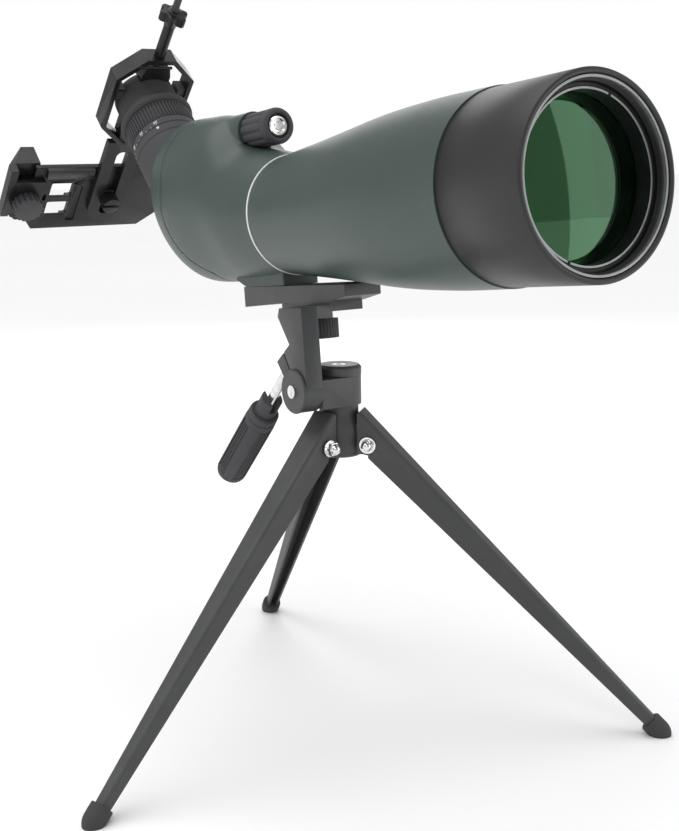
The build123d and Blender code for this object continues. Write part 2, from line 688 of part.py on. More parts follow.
# a shallow groove shows where the two meet
with BuildPart() as seam_groove:
    with BuildSketch(SIDE):
        with BuildLine():
            Line((-154.5, 90), (-154.5, 20))
            ThreePointArc((-154.5, 20), (-146.5, -10.5), (-121, -31.5))
            Line((-121, -31.5), (-112, -60))
        trace(line_width=0.6)
    extrude(amount=60, both=True)
    add(housing_form(0.5), mode=Mode.SUBTRACT)

rear_solid = (housing_shell.part & behind_seam.part) - seam_groove.part
front_solid = (housing_shell.part - behind_seam.part) - seam_groove.part

with BuildPart() as rear_cover:
    add(max(rear_solid.solids(), key=lambda solid: solid.volume))
finish(rear_cover, "rear_cover")

with BuildPart() as prism_housing:
    add(max(front_solid.solids(), key=lambda solid: solid.volume))
finish(prism_housing, "prism_housing")

with BuildPart() as mounting_foot:
    with BuildSketch(SIDE):
        with BuildLine():
            Polyline((FOOT_S[0], PAD_T + 0.02), (FOOT_S[1], PAD_T + 0.02), (FOOT_S[1], -30),
                     (FOOT_S[0] - 12, -30), (FOOT_S[0] - 12, PAD_T + 5), close=True)
        make_face()
    extrude(amount=FOOT_HALF_W, both=True)
    fillet(mounting_foot.edges().filter_by(Axis(at_side(0), SIDE.y_dir)), 1.2)
    add(outer_form, mode=Mode.SUBTRACT)
    with BuildSketch(level(PAD_T - 1, sum(FOOT_S) / 2)):
        Circle(3.15)
    extrude(amount=20, mode=Mode.SUBTRACT)
finish(mounting_foot, "mounting_foot")

# ---------------------------------------------------------------- prism
PRISM_HALF_W = 17.0
with BuildPart() as roof_prism:
    with BuildSketch(SIDE):
        with BuildLine():
            Polyline((-133, -17.5), (-133, 20), (-146, 30.5), (-181.5, 0.2), (-160.0, -17.5),
                     close=True)
        make_face()
    extrude(amount=PRISM_HALF_W, both=True)
finish(roof_prism, "roof_prism")

BULKHEAD_S = -129.0
with BuildPart() as prism_bracket:
    # bulkhead across the hollow, and a cradle for the prism behind it
    with BuildSketch(station(BULKHEAD_S)):
        Circle(70.0)
    extrude(amount=2.0)
    add(inner_form, mode=Mode.INTERSECT)
    with BuildSketch(SIDE):
        with BuildLine():
            Polyline((-150, -20.5), (BULKHEAD_S, -20.5), (BULKHEAD_S, -23), (-150, -23), close=True)
        make_face()
    extrude(amount=PRISM_HALF_W + 2, both=True)
    for side in (-1, 1):
        with BuildSketch(SIDE.offset(side * (PRISM_HALF_W + 0.3))):
            with BuildLine():
                Polyline((BULKHEAD_S, -23), (BULKHEAD_S, 12), (-150, -4), (-150, -23), close=True)
            make_face()
        extrude(amount=side * 1.7)
    with BuildSketch(station(BULKHEAD_S - 1)):
        Circle(14.0)
    extrude(amount=4, mode=Mode.SUBTRACT)
finish(prism_bracket, "prism_bracket")

# ================================================================ focus drive
FOCUS_TRAVEL = 3.0
SHAFT_R = 4.0
with BuildPart() as focus_knob:
    with BuildSketch(station(BOSS_FRONT + GAP + 0.2, KNOB_T)):
        Circle(KNOB_R)
        with PolarLocations(KNOB_R + 0.5, 12):
            Circle(1.15, mode=Mode.SUBTRACT)
    extrude(amount=24.5)
    with BuildSketch(station(BOSS_FRONT + GAP + 24.7, KNOB_T)):
        Circle(KNOB_R)
    extrude(amount=5.0)
    front_face = focus_knob.faces().sort_by(SCOPE_AXIS)[-1]
    fillet(front_face.edges(), 1.6)
    with BuildSketch(station(-59.5, KNOB_T)):
        Circle(7.4)
    extrude(amount=6, mode=Mode.SUBTRACT)
    with BuildSketch(station(-90, KNOB_T)):
        Circle(2.6)
    extrude(amount=18, mode=Mode.SUBTRACT)
finish(focus_knob, "focus_knob")

with BuildPart() as focus_knob_cap:
    with BuildSketch(station(-59.45, KNOB_T)):
        Circle(5.4)
    extrude(amount=1.9)
    chamfer(focus_knob_cap.edges().filter_by(GeomType.CIRCLE).sort_by(SCOPE_AXIS)[-1:], 0.8)
finish(focus_knob_cap, "focus_knob_cap")

with BuildPart() as focus_shaft:
    with BuildSketch(station(-125, KNOB_T)):
        Circle(SHAFT_R - 0.02)
    extrude(amount=BOSS_FRONT + 125 + 0.4)
    with BuildSketch(station(-90, KNOB_T)):
        Circle(2.55)
    extrude(amount=17.5)
finish(focus_shaft, "focus_shaft")

CELL_S = -119.0
with BuildPart() as focus_carriage:
    # nut around the shaft, arm down to a ring around the light path
    with BuildSketch(station(CELL_S, KNOB_T)):
        Circle(7.0)
    extrude(amount=8)
    with BuildSketch(station(CELL_S)):
        with Locations((0, 35)):
            Rectangle(7.0, 36)
        Circle(20.0)
    extrude(amount=8)
    with BuildSketch(station(CELL_S)):
        Circle(16.6)
    extrude(amount=8, mode=Mode.SUBTRACT)
    with BuildSketch(station(CELL_S, KNOB_T)):
        Circle(SHAFT_R + FIT)
    extrude(amount=8, mode=Mode.SUBTRACT)
finish(focus_carriage, "focus_carriage")

with BuildPart() as focus_lens:
    revolve(lens_face(SIDE, CELL_S + 4.8, CELL_S + 3.2, 16.4, -2.0, -2.0), axis=SCOPE_AXIS)
finish(focus_lens, "focus_lens")

# ================================================================ eyepiece
with BuildPart() as eyepiece_collar:
    with BuildSketch(EYE_SIDE):
        with BuildLine():
            Polyline((20, EYE_HOLE_R + 0.1), (COLLAR_END, EYE_HOLE_R + 0.1),
                     (COLLAR_END, COLLAR_R - 0.5), (COLLAR_END - 0.6, COLLAR_R),
                     (COLLAR_END - 12.5, COLLAR_R + 0.3), (20, COLLAR_R + 0.3), close=True)
        make_face()
    revolve(axis=EYE_AXIS)
    add(outer_form, mode=Mode.SUBTRACT)
    add(inner_form, mode=Mode.SUBTRACT)
collar_solids = eyepiece_collar.part.solids()
with BuildPart() as collar:
    add(max(collar_solids, key=lambda solid: solid.volume))
finish(collar, "eyepiece_collar")

TUBE_R = 19.1
with BuildPart() as eyepiece_tube:
    with BuildSketch(EYE_SIDE):
        with BuildLine():
            Polyline((33, 16.4), (33, TUBE_R), (ZOOM_END + 4, TUBE_R), (ZOOM_END + 4, 17.0),
                     (118, 17.0), (118, 14.6), (ZOOM_END + 3, 14.6), (ZOOM_END + 3, 16.4),
                     close=True)
        make_face()
    revolve(axis=EYE_AXIS)
finish(eyepiece_tube, "eyepiece_tube")

with BuildPart() as eyepiece_lenses:
    revolve(lens_face(EYE_SIDE, 116.6, 111.0, 14.4, 1.6, 0.8), axis=EYE_AXIS)
    revolve(lens_face(EYE_SIDE, 110.2, 105.6, 14.4, 1.0, 0.6), axis=EYE_AXIS)
    revolve(lens_face(EYE_SIDE, 40.0, 36.5, 16.2, 0.8, 0.6), axis=EYE_AXIS)
finish(eyepiece_lenses, "eyepiece_lenses")

with BuildPart() as zoom_ring:
    revolve(ring_face(EYE_SIDE, COLLAR_END + GAP, ZOOM_END, TUBE_R + FIT, COLLAR_R),
            axis=EYE_AXIS)
    with BuildSketch(EYE.offset(COLLAR_END + GAP + 5)):
        with PolarLocations(COLLAR_R + 0.2, 60):
            Rectangle(1.4, 1.3)
    extrude(amount=ZOOM_END - COLLAR_END - GAP - 6, mode=Mode.SUBTRACT)
finish(zoom_ring, "zoom_ring")

for name, near, far in (("zoom_field_cell", 50.0, 58.0), ("zoom_eye_cell", 76.0, 84.0)):
    with BuildPart() as cell:
        revolve(ring_face(EYE_SIDE, near, far, 13.4, 16.4 - FIT), axis=EYE_AXIS)
        revolve(lens_face(EYE_SIDE, far - 1, near + 1, 13.4, 1.6, 1.6), axis=EYE_AXIS)
    finish(cell, name)

with BuildPart() as eyecup:
    with BuildSketch(EYE_SIDE):
        with BuildLine():
            Line((ZOOM_END + GAP, TUBE_R + 0.1), (ZOOM_END + GAP, 25.2))
            ThreePointArc((ZOOM_END + GAP, 25.2), (ZOOM_END + 3.6, 26.4), (ZOOM_END + 7.2, 25.0))
            Polyline((ZOOM_END + 7.2, 25.0), (ZOOM_END + 10.5, CUP_R + 0.4), (CUP_END - 2, CUP_R),
                     (CUP_END, CUP_R - 1.5), (CUP_END, CUP_R - 4.0), (118.1, 17.1),
                     (ZOOM_END + 4.1, 17.1), (ZOOM_END + 4.1, TUBE_R + 0.1),
                     (ZOOM_END + GAP, TUBE_R + 0.1))
        make_face()
    revolve(axis=EYE_AXIS)
finish(eyecup, "eyecup")

# ================================================================ phone adapter
FRAME_FAR = FRAME_NEAR + FRAME_DEPTH
FRAME_MID = FRAME_NEAR + FRAME_DEPTH / 2


def octagon(half_w, half_h, flat_x, flat_y):
    """Corners of the frame's octagon, anticlockwise from the right."""
    return [(half_w, -flat_y), (half_w, flat_y), (flat_x, half_h), (-flat_x, half_h),
            (-half_w, flat_y), (-half_w, -flat_y), (-flat_x, -half_h), (flat_x, -half_h)]


def above_frame(y):
    """Plane square to the clamp rod, at height y over the eyepiece axis."""
    return Plane(origin=EYE.from_local_coords(Vector(0, y, FRAME_MID)), x_dir=EYE.x_dir,
                 z_dir=EYE.y_dir)


with BuildPart() as adapter_frame:
    with BuildSketch(EYE.offset(FRAME_NEAR)):
        with BuildLine():
            Polyline(*octagon(FRAME_HALF_W, FRAME_HALF_H, 11.0, 22.0), close=True)
        make_face()
        with BuildLine():
            Polyline(*octagon(FRAME_HALF_W - FRAME_WALL, FRAME_HALF_H - FRAME_WALL, 9.6, 20.6),
                     close=True)
        make_face(mode=Mode.SUBTRACT)
    extrude(amount=FRAME_DEPTH)
    # cradle that the eyecup rests in
    with BuildSketch(EYE.offset(FRAME_NEAR + 1)):
        with BuildLine():
            Polyline((-9, -36.5), (9, -36.5), (13, -32), (13, -12), (-13, -12), (-13, -32),
                     close=True)
        make_face()
        Circle(CUP_R + 0.45, mode=Mode.SUBTRACT)
    extrude(amount=FRAME_DEPTH - 2)
    # slotted arm
    arm_bottom = ARM_END_Y + ARM_R
    slot_bottom = arm_bottom - 3
    with BuildSketch(EYE.offset(ARM_NEAR)):
        with BuildLine():
            Polyline((ARM_X - ARM_R, -38), (ARM_X - ARM_R, arm_bottom),
                     (ARM_X + ARM_R, arm_bottom), (ARM_X + ARM_R, -38), close=True)
        make_face()
        with Locations((ARM_X, arm_bottom)):
            Circle(ARM_R)
        with Locations((ARM_X, (SLOT_TOP_Y + slot_bottom) / 2)):
            SlotCenterToCenter(SLOT_TOP_Y - slot_bottom, 2 * SLOT_R, rotation=90,
                               mode=Mode.SUBTRACT)
    extrude(amount=ARM_THICK)
    with BuildSketch(above_frame(30)):
        Circle(2.5)
    extrude(amount=20, mode=Mode.SUBTRACT)
finish(adapter_frame, "adapter_frame")

with BuildPart() as grip_pads:
    with BuildSketch(EYE.offset(FRAME_NEAR + 1.5)):
        for side in (-1, 1):
            with Locations((side * 23.4, 8.5)):
                Rectangle(6.3, 9.0)
        Circle(CUP_R + 0.45, mode=Mode.SUBTRACT)
    extrude(amount=FRAME_DEPTH - 3)
finish(grip_pads, "grip_pads")

SLEEVE_TOP = 65.8
KNOB_END = 83.0
CLAMP_TRAVEL = 4.5
BLOCK_TOP = 30.6
with BuildPart() as clamp_sleeve:
    with BuildSketch(above_frame(FRAME_HALF_H + 0.02)):
        Circle(3.9)
        Circle(2.5, mode=Mode.SUBTRACT)
    extrude(amount=SLEEVE_TOP - FRAME_HALF_H - 0.02)
finish(clamp_sleeve, "clamp_sleeve")

with BuildPart() as clamp_rod:
    with BuildSketch(above_frame(BLOCK_TOP - 4)):
        Circle(2.45)
    extrude(amount=89 - BLOCK_TOP + 4)
    chamfer(clamp_rod.edges().sort_by(Axis(EYE.origin, EYE.y_dir))[-1:], 0.6)
finish(clamp_rod, "clamp_rod")

with BuildPart() as clamp_block:
    with BuildSketch(EYE.offset(FRAME_MID - 5)):
        with BuildLine():
            Polyline((-9, BLOCK_TOP), (9, BLOCK_TOP), (11, 24), (11, 18), (-11, 18), (-11, 24),
                     close=True)
        make_face()
        Circle(CUP_R + 0.85, mode=Mode.SUBTRACT)
    extrude(amount=10)
    with BuildSketch(above_frame(BLOCK_TOP - 4)):
        Circle(2.45)
    extrude(amount=10, mode=Mode.SUBTRACT)
finish(clamp_block, "clamp_block")

with BuildPart() as clamp_knob:
    with BuildSketch(above_frame(SLEEVE_TOP + GAP)):
        Circle(7.6)
        with PolarLocations(6.8, 6):
            Circle(3.4)
    extrude(amount=KNOB_END - SLEEVE_TOP - GAP - 4)
    with BuildSketch(above_frame(KNOB_END - 4)):
        Circle(6.0)
    extrude(amount=4, taper=18)
    with BuildSketch(above_frame(SLEEVE_TOP)):
        Circle(2.5)
    extrude(amount=30, mode=Mode.SUBTRACT)
finish(clamp_knob, "clamp_knob")

# ---------------------------------------------------------------- phone holder
JAW_KNOB = (70.0, -97.0)
JAW_SCREW_R = 2.5
TONGUE = (52.0, -121.5, -78.5)        # inner end and the two sides
TONGUE_THICK = 1.9
PLATE_FAR = PLATE_NEAR + PLATE_THICK

with BuildPart() as phone_plate:
    with BuildSketch(EYE.offset(PLATE_NEAR)):
        with BuildLine():
            Polyline((PLATE_X[0], PLATE_Y[1]), (PLATE_X[1], PLATE_Y[1]), (PLATE_X[1], -118),
                     (58, PLATE_Y[0]), (-30, PLATE_Y[0]), (PLATE_X[0], -122), close=True)
        make_face()
        for y in (-89.5, -108.5):
            with Locations((42.0, y)):
                RectangleRounded(17.0, 13.0, 1.2, mode=Mode.SUBTRACT)
    extrude(amount=PLATE_THICK)
    # rail along the top, key that rides in the arm's slot, fixed jaw
    with BuildSketch(EYE.offset(PLATE_NEAR)):
        with Locations((39.5, -71.2)):
            Rectangle(37.0, 8.4)
    extrude(amount=-3.6)
    with BuildSketch(EYE.offset(PLATE_NEAR)):
        with Locations((ARM_X, PLATE_BOLT_Y)):
            Rectangle(2 * SLOT_R - 0.6, 14.0)
    extrude(amount=-4.2)
    with BuildSketch(EYE.offset(PLATE_NEAR)):
        with BuildLine():
            Polyline((PLATE_X[0], -70), (PLATE_X[0], -122), (PLATE_X[0] - 6, -116),
                     (PLATE_X[0] - 6, -76), close=True)
        make_face()
    extrude(amount=JAW_REACH - PLATE_NEAR)
    # channel for the movable jaw's tongue, notch for its screw, dark pocket, screw hole
    with BuildSketch(EYE.offset(PLATE_FAR)):
        with BuildLine():
            Polyline((TONGUE[0] - JAW_IN - 0.6, TONGUE[1] - 0.3), (90, TONGUE[1] - 0.3),
                     (90, TONGUE[2] + 0.3), (TONGUE[0] - JAW_IN - 0.6, TONGUE[2] + 0.3), close=True)
        make_face()
    extrude(amount=-(TONGUE_THICK + 0.3), mode=Mode.SUBTRACT)
    with BuildSketch(EYE.offset(PLATE_NEAR)):
        notch = JAW_KNOB[0] - JAW_IN - JAW_SCREW_R - 0.6
        with Locations(((notch + PLATE_X[1] + 4) / 2, JAW_KNOB[1])):
            Rectangle(PLATE_X[1] + 4 - notch, 2 * JAW_SCREW_R + 1.2)
    extrude(amount=10, mode=Mode.SUBTRACT)
    with BuildSketch(EYE.offset(PLATE_NEAR)):
        with Locations((28.5, -104)):
            Rectangle(6.0, 36.0)
    extrude(amount=1.6, mode=Mode.SUBTRACT)
    with BuildSketch(EYE.offset(PLATE_NEAR - 10)):
        with Locations((ARM_X, PLATE_BOLT_Y)):
            Circle(3.0)
    extrude(amount=20, mode=Mode.SUBTRACT)
finish(phone_plate, "phone_plate")

with BuildPart() as arm_knob:
    with BuildSketch(EYE.offset(ARM_NEAR - GAP)):
        with Locations((ARM_X, PLATE_BOLT_Y)):
            Circle(6.9)
    extrude(amount=-8.2)
    with BuildSketch(EYE.offset(ARM_NEAR - GAP - 8.2)):
        with Locations((ARM_X, PLATE_BOLT_Y)):
            Rectangle(16, 2.6)
    extrude(amount=3.0, mode=Mode.SUBTRACT)
    with BuildSketch(EYE.offset(ARM_NEAR - GAP - 0.5)):
        with Locations((ARM_X, PLATE_BOLT_Y)):
            Circle(2.95)
    extrude(amount=PLATE_FAR - 0.2 - ARM_NEAR + GAP + 0.5)
finish(arm_knob, "arm_knob")

JAW_NEAR = PLATE_NEAR - GAP - 4.0
with BuildPart() as phone_jaw:
    # leaf on the near side of the plate
    with BuildSketch(EYE.offset(JAW_NEAR)):
        with BuildLine():
            Polyline((58, -112), (79, -112), (86.5, -101), (86.5, -80), (80, -77), (58, -77),
                     close=True)
        make_face()
    extrude(amount=4.0)
    # wedge on the phone's side: its flat face grips, and its foot joins the leaf past the plate
    across = Plane(origin=EYE.from_local_coords(Vector(0, -111, 0)), x_dir=EYE.x_dir,
                   z_dir=EYE.y_dir)
    with BuildSketch(across):
        with BuildLine():
            Polyline((62, -PLATE_FAR - GAP), (62, -JAW_REACH), (71, -JAW_REACH),
                     (86.5, 1 - PLATE_FAR), (86.5, -JAW_NEAR), (80.8, -JAW_NEAR),
                     (80.8, -PLATE_FAR - GAP), close=True)
        make_face()
    extrude(amount=45)
    chamfer(phone_jaw.faces().sort_by(EYE_AXIS)[-1].edges(), 1.5)
    # tongue in the plate's channel, bore for the screw
    with BuildSketch(EYE.offset(PLATE_FAR - TONGUE_THICK)):
        with BuildLine():
            Polyline((TONGUE[0], TONGUE[1]), (72, TONGUE[1]), (82, TONGUE[1] + 11),
                     (82, TONGUE[2]), (TONGUE[0], TONGUE[2]), close=True)
        make_face()
    extrude(amount=TONGUE_THICK)
    with BuildSketch(EYE.offset(PLATE_NEAR - 10)):
        with Locations(JAW_KNOB):
            Circle(JAW_SCREW_R)
    extrude(amount=14.3, mode=Mode.SUBTRACT)
finish(phone_jaw, "phone_jaw")

with BuildPart() as jaw_knob:
    with BuildSketch(EYE.offset(PLATE_NEAR - 2 * GAP - 4.0)):
        with Locations(JAW_KNOB):
            Circle(11.0)
            with PolarLocations(11.2, 16):
                Circle(1.2, mode=Mode.SUBTRACT)
    extrude(amount=-8.6)
    with BuildSketch(EYE.offset(PLATE_NEAR - 2 * GAP - 4.2)):
        with Locations(JAW_KNOB):
            Circle(JAW_SCREW_R - FIT)
    extrude(amount=PLATE_FAR - PLATE_NEAR + 2 * GAP + 3.9)
finish(jaw_knob, "jaw_knob")

# ---------------------------------------------------------------- centre and write
boxes = [builder.part.bounding_box() for builder in finished.values()]
low = Vector(*(min(getattr(box.min, axis) for box in boxes) for axis in "XYZ"))
high = Vector(*(max(getattr(box.max, axis) for box in boxes) for axis in "XYZ"))
SHIFT = Vector(-(low.X + high.X) / 2, -(low.Y + high.Y) / 2, 0)
for name, builder in finished.items():
    piece = builder.part.moved(Location(SHIFT))
    piece.label = name
    export_step(piece, f"parts/{name}.step")
print(len(finished), "pieces, box", high - low, "shift", SHIFT, "lowest", low.Z)
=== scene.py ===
import json
import logging
import math
from dataclasses import dataclass
from enum import Enum
from typing import Any, Iterable, Optional, Sequence, Union

import bmesh
import bpy
from mathutils import Matrix, Vector

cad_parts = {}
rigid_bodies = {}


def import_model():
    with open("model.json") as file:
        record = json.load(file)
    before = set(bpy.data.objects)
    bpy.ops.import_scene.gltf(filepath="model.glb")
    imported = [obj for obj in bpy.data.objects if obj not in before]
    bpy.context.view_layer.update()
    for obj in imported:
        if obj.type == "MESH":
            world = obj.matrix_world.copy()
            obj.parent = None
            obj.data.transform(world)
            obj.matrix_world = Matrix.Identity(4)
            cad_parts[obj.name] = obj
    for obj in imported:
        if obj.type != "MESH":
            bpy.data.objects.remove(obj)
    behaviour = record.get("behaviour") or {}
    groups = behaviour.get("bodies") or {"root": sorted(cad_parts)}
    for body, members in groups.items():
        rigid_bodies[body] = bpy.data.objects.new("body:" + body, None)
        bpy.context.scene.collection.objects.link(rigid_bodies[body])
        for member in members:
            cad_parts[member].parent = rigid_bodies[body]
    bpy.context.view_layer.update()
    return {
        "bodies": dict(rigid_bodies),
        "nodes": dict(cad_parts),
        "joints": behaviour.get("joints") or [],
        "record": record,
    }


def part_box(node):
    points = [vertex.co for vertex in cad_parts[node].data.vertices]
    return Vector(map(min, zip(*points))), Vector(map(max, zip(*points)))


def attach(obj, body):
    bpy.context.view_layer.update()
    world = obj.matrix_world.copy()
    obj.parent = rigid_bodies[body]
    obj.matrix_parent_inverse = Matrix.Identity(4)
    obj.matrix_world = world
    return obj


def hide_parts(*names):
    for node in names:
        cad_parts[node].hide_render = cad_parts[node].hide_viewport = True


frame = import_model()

# An angled zoom spotting scope with a phone adapter, on a folding tabletop tripod.
#
# Every sub-assembly is a class: its sizes are fields in millimetres, and its methods build its
# meshes and dress them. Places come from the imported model's joints and boxes.

logging.basicConfig(level=logging.INFO, format="%(levelname)s %(name)s: %(message)s")
log = logging.getLogger("scope")

MM = 0.001                  # metres in a millimetre
STANCE_RADIUS = 192.3       # from the pan axis to where a leg's line meets the floor
MERGE = 2e-6                # metres within which a node's loose corners are one
SAME_LEVEL = 1e-6           # millimetres within which two corners are level
Pair = tuple[float, float]
Colour = tuple[float, float, float]


# --------------------------------------------------------------------------------------
# Shader writing
# --------------------------------------------------------------------------------------
class Num:
    """A number that varies over a surface, held as a node socket with the usual arithmetic."""

    def __init__(self, sheet: "NodeSheet", socket: bpy.types.NodeSocket) -> None:
        """Wrap a socket of one node sheet."""
        self.sheet = sheet
        self.socket = socket

    def _math(self, operation: str, *values: Union["Num", float]) -> "Num":
        """Add one Math node.

        Args:
            operation: the Math node's operation.
            values: its inputs in order, wrapped sockets or plain numbers.

        Returns:
            The node's result.
        """
        inputs = {i: v for i, v in enumerate(values)}
        return self.sheet.node("ShaderNodeMath", {"operation": operation}, inputs, out=0)

    def __add__(self, other: Union["Num", float]) -> "Num":
        """Sum."""
        return self._math("ADD", self, other)

    __radd__ = __add__

    def __sub__(self, other: Union["Num", float]) -> "Num":
        """Difference."""
        return self._math("SUBTRACT", self, other)

    def __rsub__(self, other: float) -> "Num":
        """Difference from a plain number."""
        return self._math("SUBTRACT", other, self)

    def __mul__(self, other: Union["Num", float]) -> "Num":
        """Product."""
        return self._math("MULTIPLY", self, other)

    __rmul__ = __mul__

    def above(self, edge: float, softness: float) -> "Num":
        """Go smoothly from 0 to 1 as the number passes an edge.

        Args:
            edge: where the step is.
            softness: half of the step's width.

        Returns:
            The step, between 0 and 1.
        """
        return self.sheet.node(
            "ShaderNodeMapRange",
            {"interpolation_type": "SMOOTHSTEP"},
            {"Value": self, "From Min": edge - softness, "From Max": edge + softness,
             "To Min": 0.0, "To Max": 1.0},
            out="Result",
        )


class NodeSheet:
    """The node tree of one material, with one way of adding a node."""

    def __init__(self, name: str) -> None:
        """Start a material with nothing in it but its output."""
        self.material = bpy.data.materials.new(name)
        self.material.use_nodes = True
        self.tree = self.material.node_tree
        self.tree.nodes.clear()
        self.output = self.tree.nodes.new("ShaderNodeOutputMaterial")
        self._place: Optional[bpy.types.NodeSocket] = None

    def node(
        self,
        kind: str,
        settings: dict[str, Any],
        inputs: dict[Union[str, int], Any],
        out: Union[str, int] = 0,
    ) -> Num:
        """Add a node.

        Args:
            kind: the node's type.
            settings: its properties, set before its sockets; "stops" fills a colour ramp.
            inputs: socket name or index to a wrapped socket, a socket or a plain value.
            out: the output that is wanted.

        Returns:
            That output, wrapped.
        """
        made = self.tree.nodes.new(kind)
        for key, value in settings.items():
            if key == "stops":
                ramp = made.color_ramp
                while len(ramp.elements) < len(value):
                    ramp.elements.new(0.5)
                for element, (position, colour) in zip(ramp.elements, value):
                    element.position = position
                    element.color = (*colour, 1.0)
            else:
                setattr(made, key, value)
        for key, value in inputs.items():
            socket = made.inputs[key]
            if isinstance(value, Num):
                self.tree.links.new(value.socket, socket)
            elif isinstance(value, bpy.types.NodeSocket):
                self.tree.links.new(value, socket)
            elif isinstance(value, tuple) and len(value) == 3 and socket.type == "RGBA":
                socket.default_value = (*value, 1.0)
            else:
                socket.default_value = value
        return Num(self, made.outputs[out])

    def place(self) -> Num:
        """Give the point on the piece, in metres in the object's own frame."""
        if self._place is None:
            self._place = self.node("ShaderNodeTexCoord", {}, {}, out="Object").socket
        return Num(self, self._place)

    def noise(self, size: float, detail: float = 2.0, roughness: float = 0.5) -> Num:
        """Give cloudy noise between 0 and 1.

        Args:
            size: the size of its blotches in millimetres.
            detail: the number of finer layers.
            roughness: how strong the finer layers are.

        Returns:
            The noise.
        """
        return self.node(
            "ShaderNodeTexNoise",
            {"noise_dimensions": "3D"},
            {"Vector": self.place(), "Scale": 1.0 / (size * MM), "Detail": detail,
             "Roughness": roughness},
            out=0,
        )

    def cells(self, size: float) -> Num:
        """Give the distance to the nearest of many scattered points, about 0 to 1."""
        return self.node(
            "ShaderNodeTexVoronoi",
            {"voronoi_dimensions": "3D", "feature": "F1"},
            {"Vector": self.place(), "Scale": 1.0 / (size * MM)},
            out="Distance",
        )

    def blend(self, factor: Num, first: Colour, second: Colour) -> Num:
        """Mix two colours by a number."""
        mix = self.node("ShaderNodeMix", {"data_type": "RGBA"}, {"Factor": factor}, out=2)
        node = mix.socket.node
        node.inputs[6].default_value = (*first, 1.0)
        node.inputs[7].default_value = (*second, 1.0)
        return mix

    def worn_edges(self, radius: float) -> Num:
        """Give 1 on sharp convex edges and 0 on flats.

        Args:
            radius: about 1; a larger one keeps the mask to sharper edges.

        Returns:
            The edge mask.
        """
        point = self.node("ShaderNodeNewGeometry", {}, {}, out="Pointiness")
        return point.above(0.5 + 0.03 * radius, 0.03)

    def bump(self, height: Num, depth: float) -> Num:
        """Turn heights into a bent normal.

        Args:
            height: heights between 0 and 1.
            depth: what a height of 1 stands for, in millimetres.

        Returns:
            The normal.
        """
        return self.node("ShaderNodeBump", {}, {"Strength": 1.0, "Distance": depth * MM,
                                                "Height": height}, out="Normal")

    def surface(self, sockets: dict[str, Any]) -> bpy.types.Material:
        """Close the sheet with a principled surface.

        Args:
            sockets: the surface's sockets by name.

        Returns:
            The finished material.
        """
        shader = self.node("ShaderNodeBsdfPrincipled", {}, sockets, out="BSDF")
        self.tree.links.new(shader.socket, self.output.inputs["Surface"])
        return self.material


# --------------------------------------------------------------------------------------
# Finishes
# --------------------------------------------------------------------------------------
@dataclass(frozen=True)
class SatinLacquer:
    """Sprayed satin lacquer: fine orange peel and a slightly uneven tone."""

    name: str
    colour: Colour
    shade: Colour
    roughness: float = 0.42
    peel: float = 0.9
    peel_depth: float = 0.012

    def make(self) -> bpy.types.Material:
        """Build the material."""
        sheet = NodeSheet(self.name)
        tone = sheet.noise(38.0, 4.0, 0.55)
        peel = sheet.noise(self.peel, 3.0, 0.6)
        dust = sheet.noise(6.0, 5.0, 0.7)
        return sheet.surface({
            "Base Color": sheet.blend(tone.above(0.5, 0.3), self.shade, self.colour),
            "Roughness": self.roughness + 0.06 * dust - 0.03,
            "Normal": sheet.bump(peel, self.peel_depth),
        })


@dataclass(frozen=True)
class MouldedPlastic:
    """Spark-eroded moulded plastic: matt grain, paler where hands rub its edges."""

    name: str
    colour: Colour
    rubbed: Colour
    roughness: float = 0.5
    grain: float = 0.45
    grain_depth: float = 0.03
    gloss: float = 0.3

    def make(self) -> bpy.types.Material:
        """Build the material."""
        sheet = NodeSheet(self.name)
        grain = sheet.noise(self.grain, 2.0, 0.6)
        tone = sheet.noise(15.0, 4.0, 0.6)
        wear = sheet.worn_edges(0.7) * tone.above(0.42, 0.2)
        return sheet.surface({
            "Base Color": sheet.blend(wear * 0.6 + 0.25 * tone, self.colour, self.rubbed),
            "Roughness": self.roughness + 0.1 * grain - 0.12 * wear,
            "Specular IOR Level": self.gloss,
            "Normal": sheet.bump(grain, self.grain_depth),
        })


@dataclass(frozen=True)
class PowderCoat:
    """Baked powder coat on cast and pressed metal: fine pebbling and a dull sheen."""

    name: str
    colour: Colour
    pale: Colour
    roughness: float = 0.48
    pebble: float = 0.7
    pebble_depth: float = 0.05

    def make(self) -> bpy.types.Material:
        """Build the material."""
        sheet = NodeSheet(self.name)
        pebble = sheet.cells(self.pebble)
        fine = sheet.noise(0.35, 2.0, 0.6)
        tone = sheet.noise(22.0, 4.0, 0.6)
        wear = sheet.worn_edges(0.6) * tone.above(0.5, 0.2)
        return sheet.surface({
            "Base Color": sheet.blend(0.55 * tone + 0.4 * wear, self.colour, self.pale),
            "Roughness": self.roughness + 0.12 * fine - 0.06,
            "Metallic": 0.0,
            "Normal": sheet.bump(pebble * 0.7 + fine * 0.3, self.pebble_depth),
        })


@dataclass(frozen=True)
class SoftRubber:
    """Moulded rubber: deep black, very matt, with dust in its pores."""

    name: str
    colour: Colour
    dusty: Colour
    roughness: float = 0.72

    def make(self) -> bpy.types.Material:
        """Build the material."""
        sheet = NodeSheet(self.name)
        pores = sheet.noise(0.5, 3.0, 0.7)
        tone = sheet.noise(9.0, 5.0, 0.65)
        return sheet.surface({
            "Base Color": sheet.blend(tone.above(0.55, 0.25), self.colour, self.dusty),
            "Roughness": self.roughness + 0.12 * pores,
            "Specular IOR Level": 0.3,
            "Normal": sheet.bump(pores, 0.04),
        })


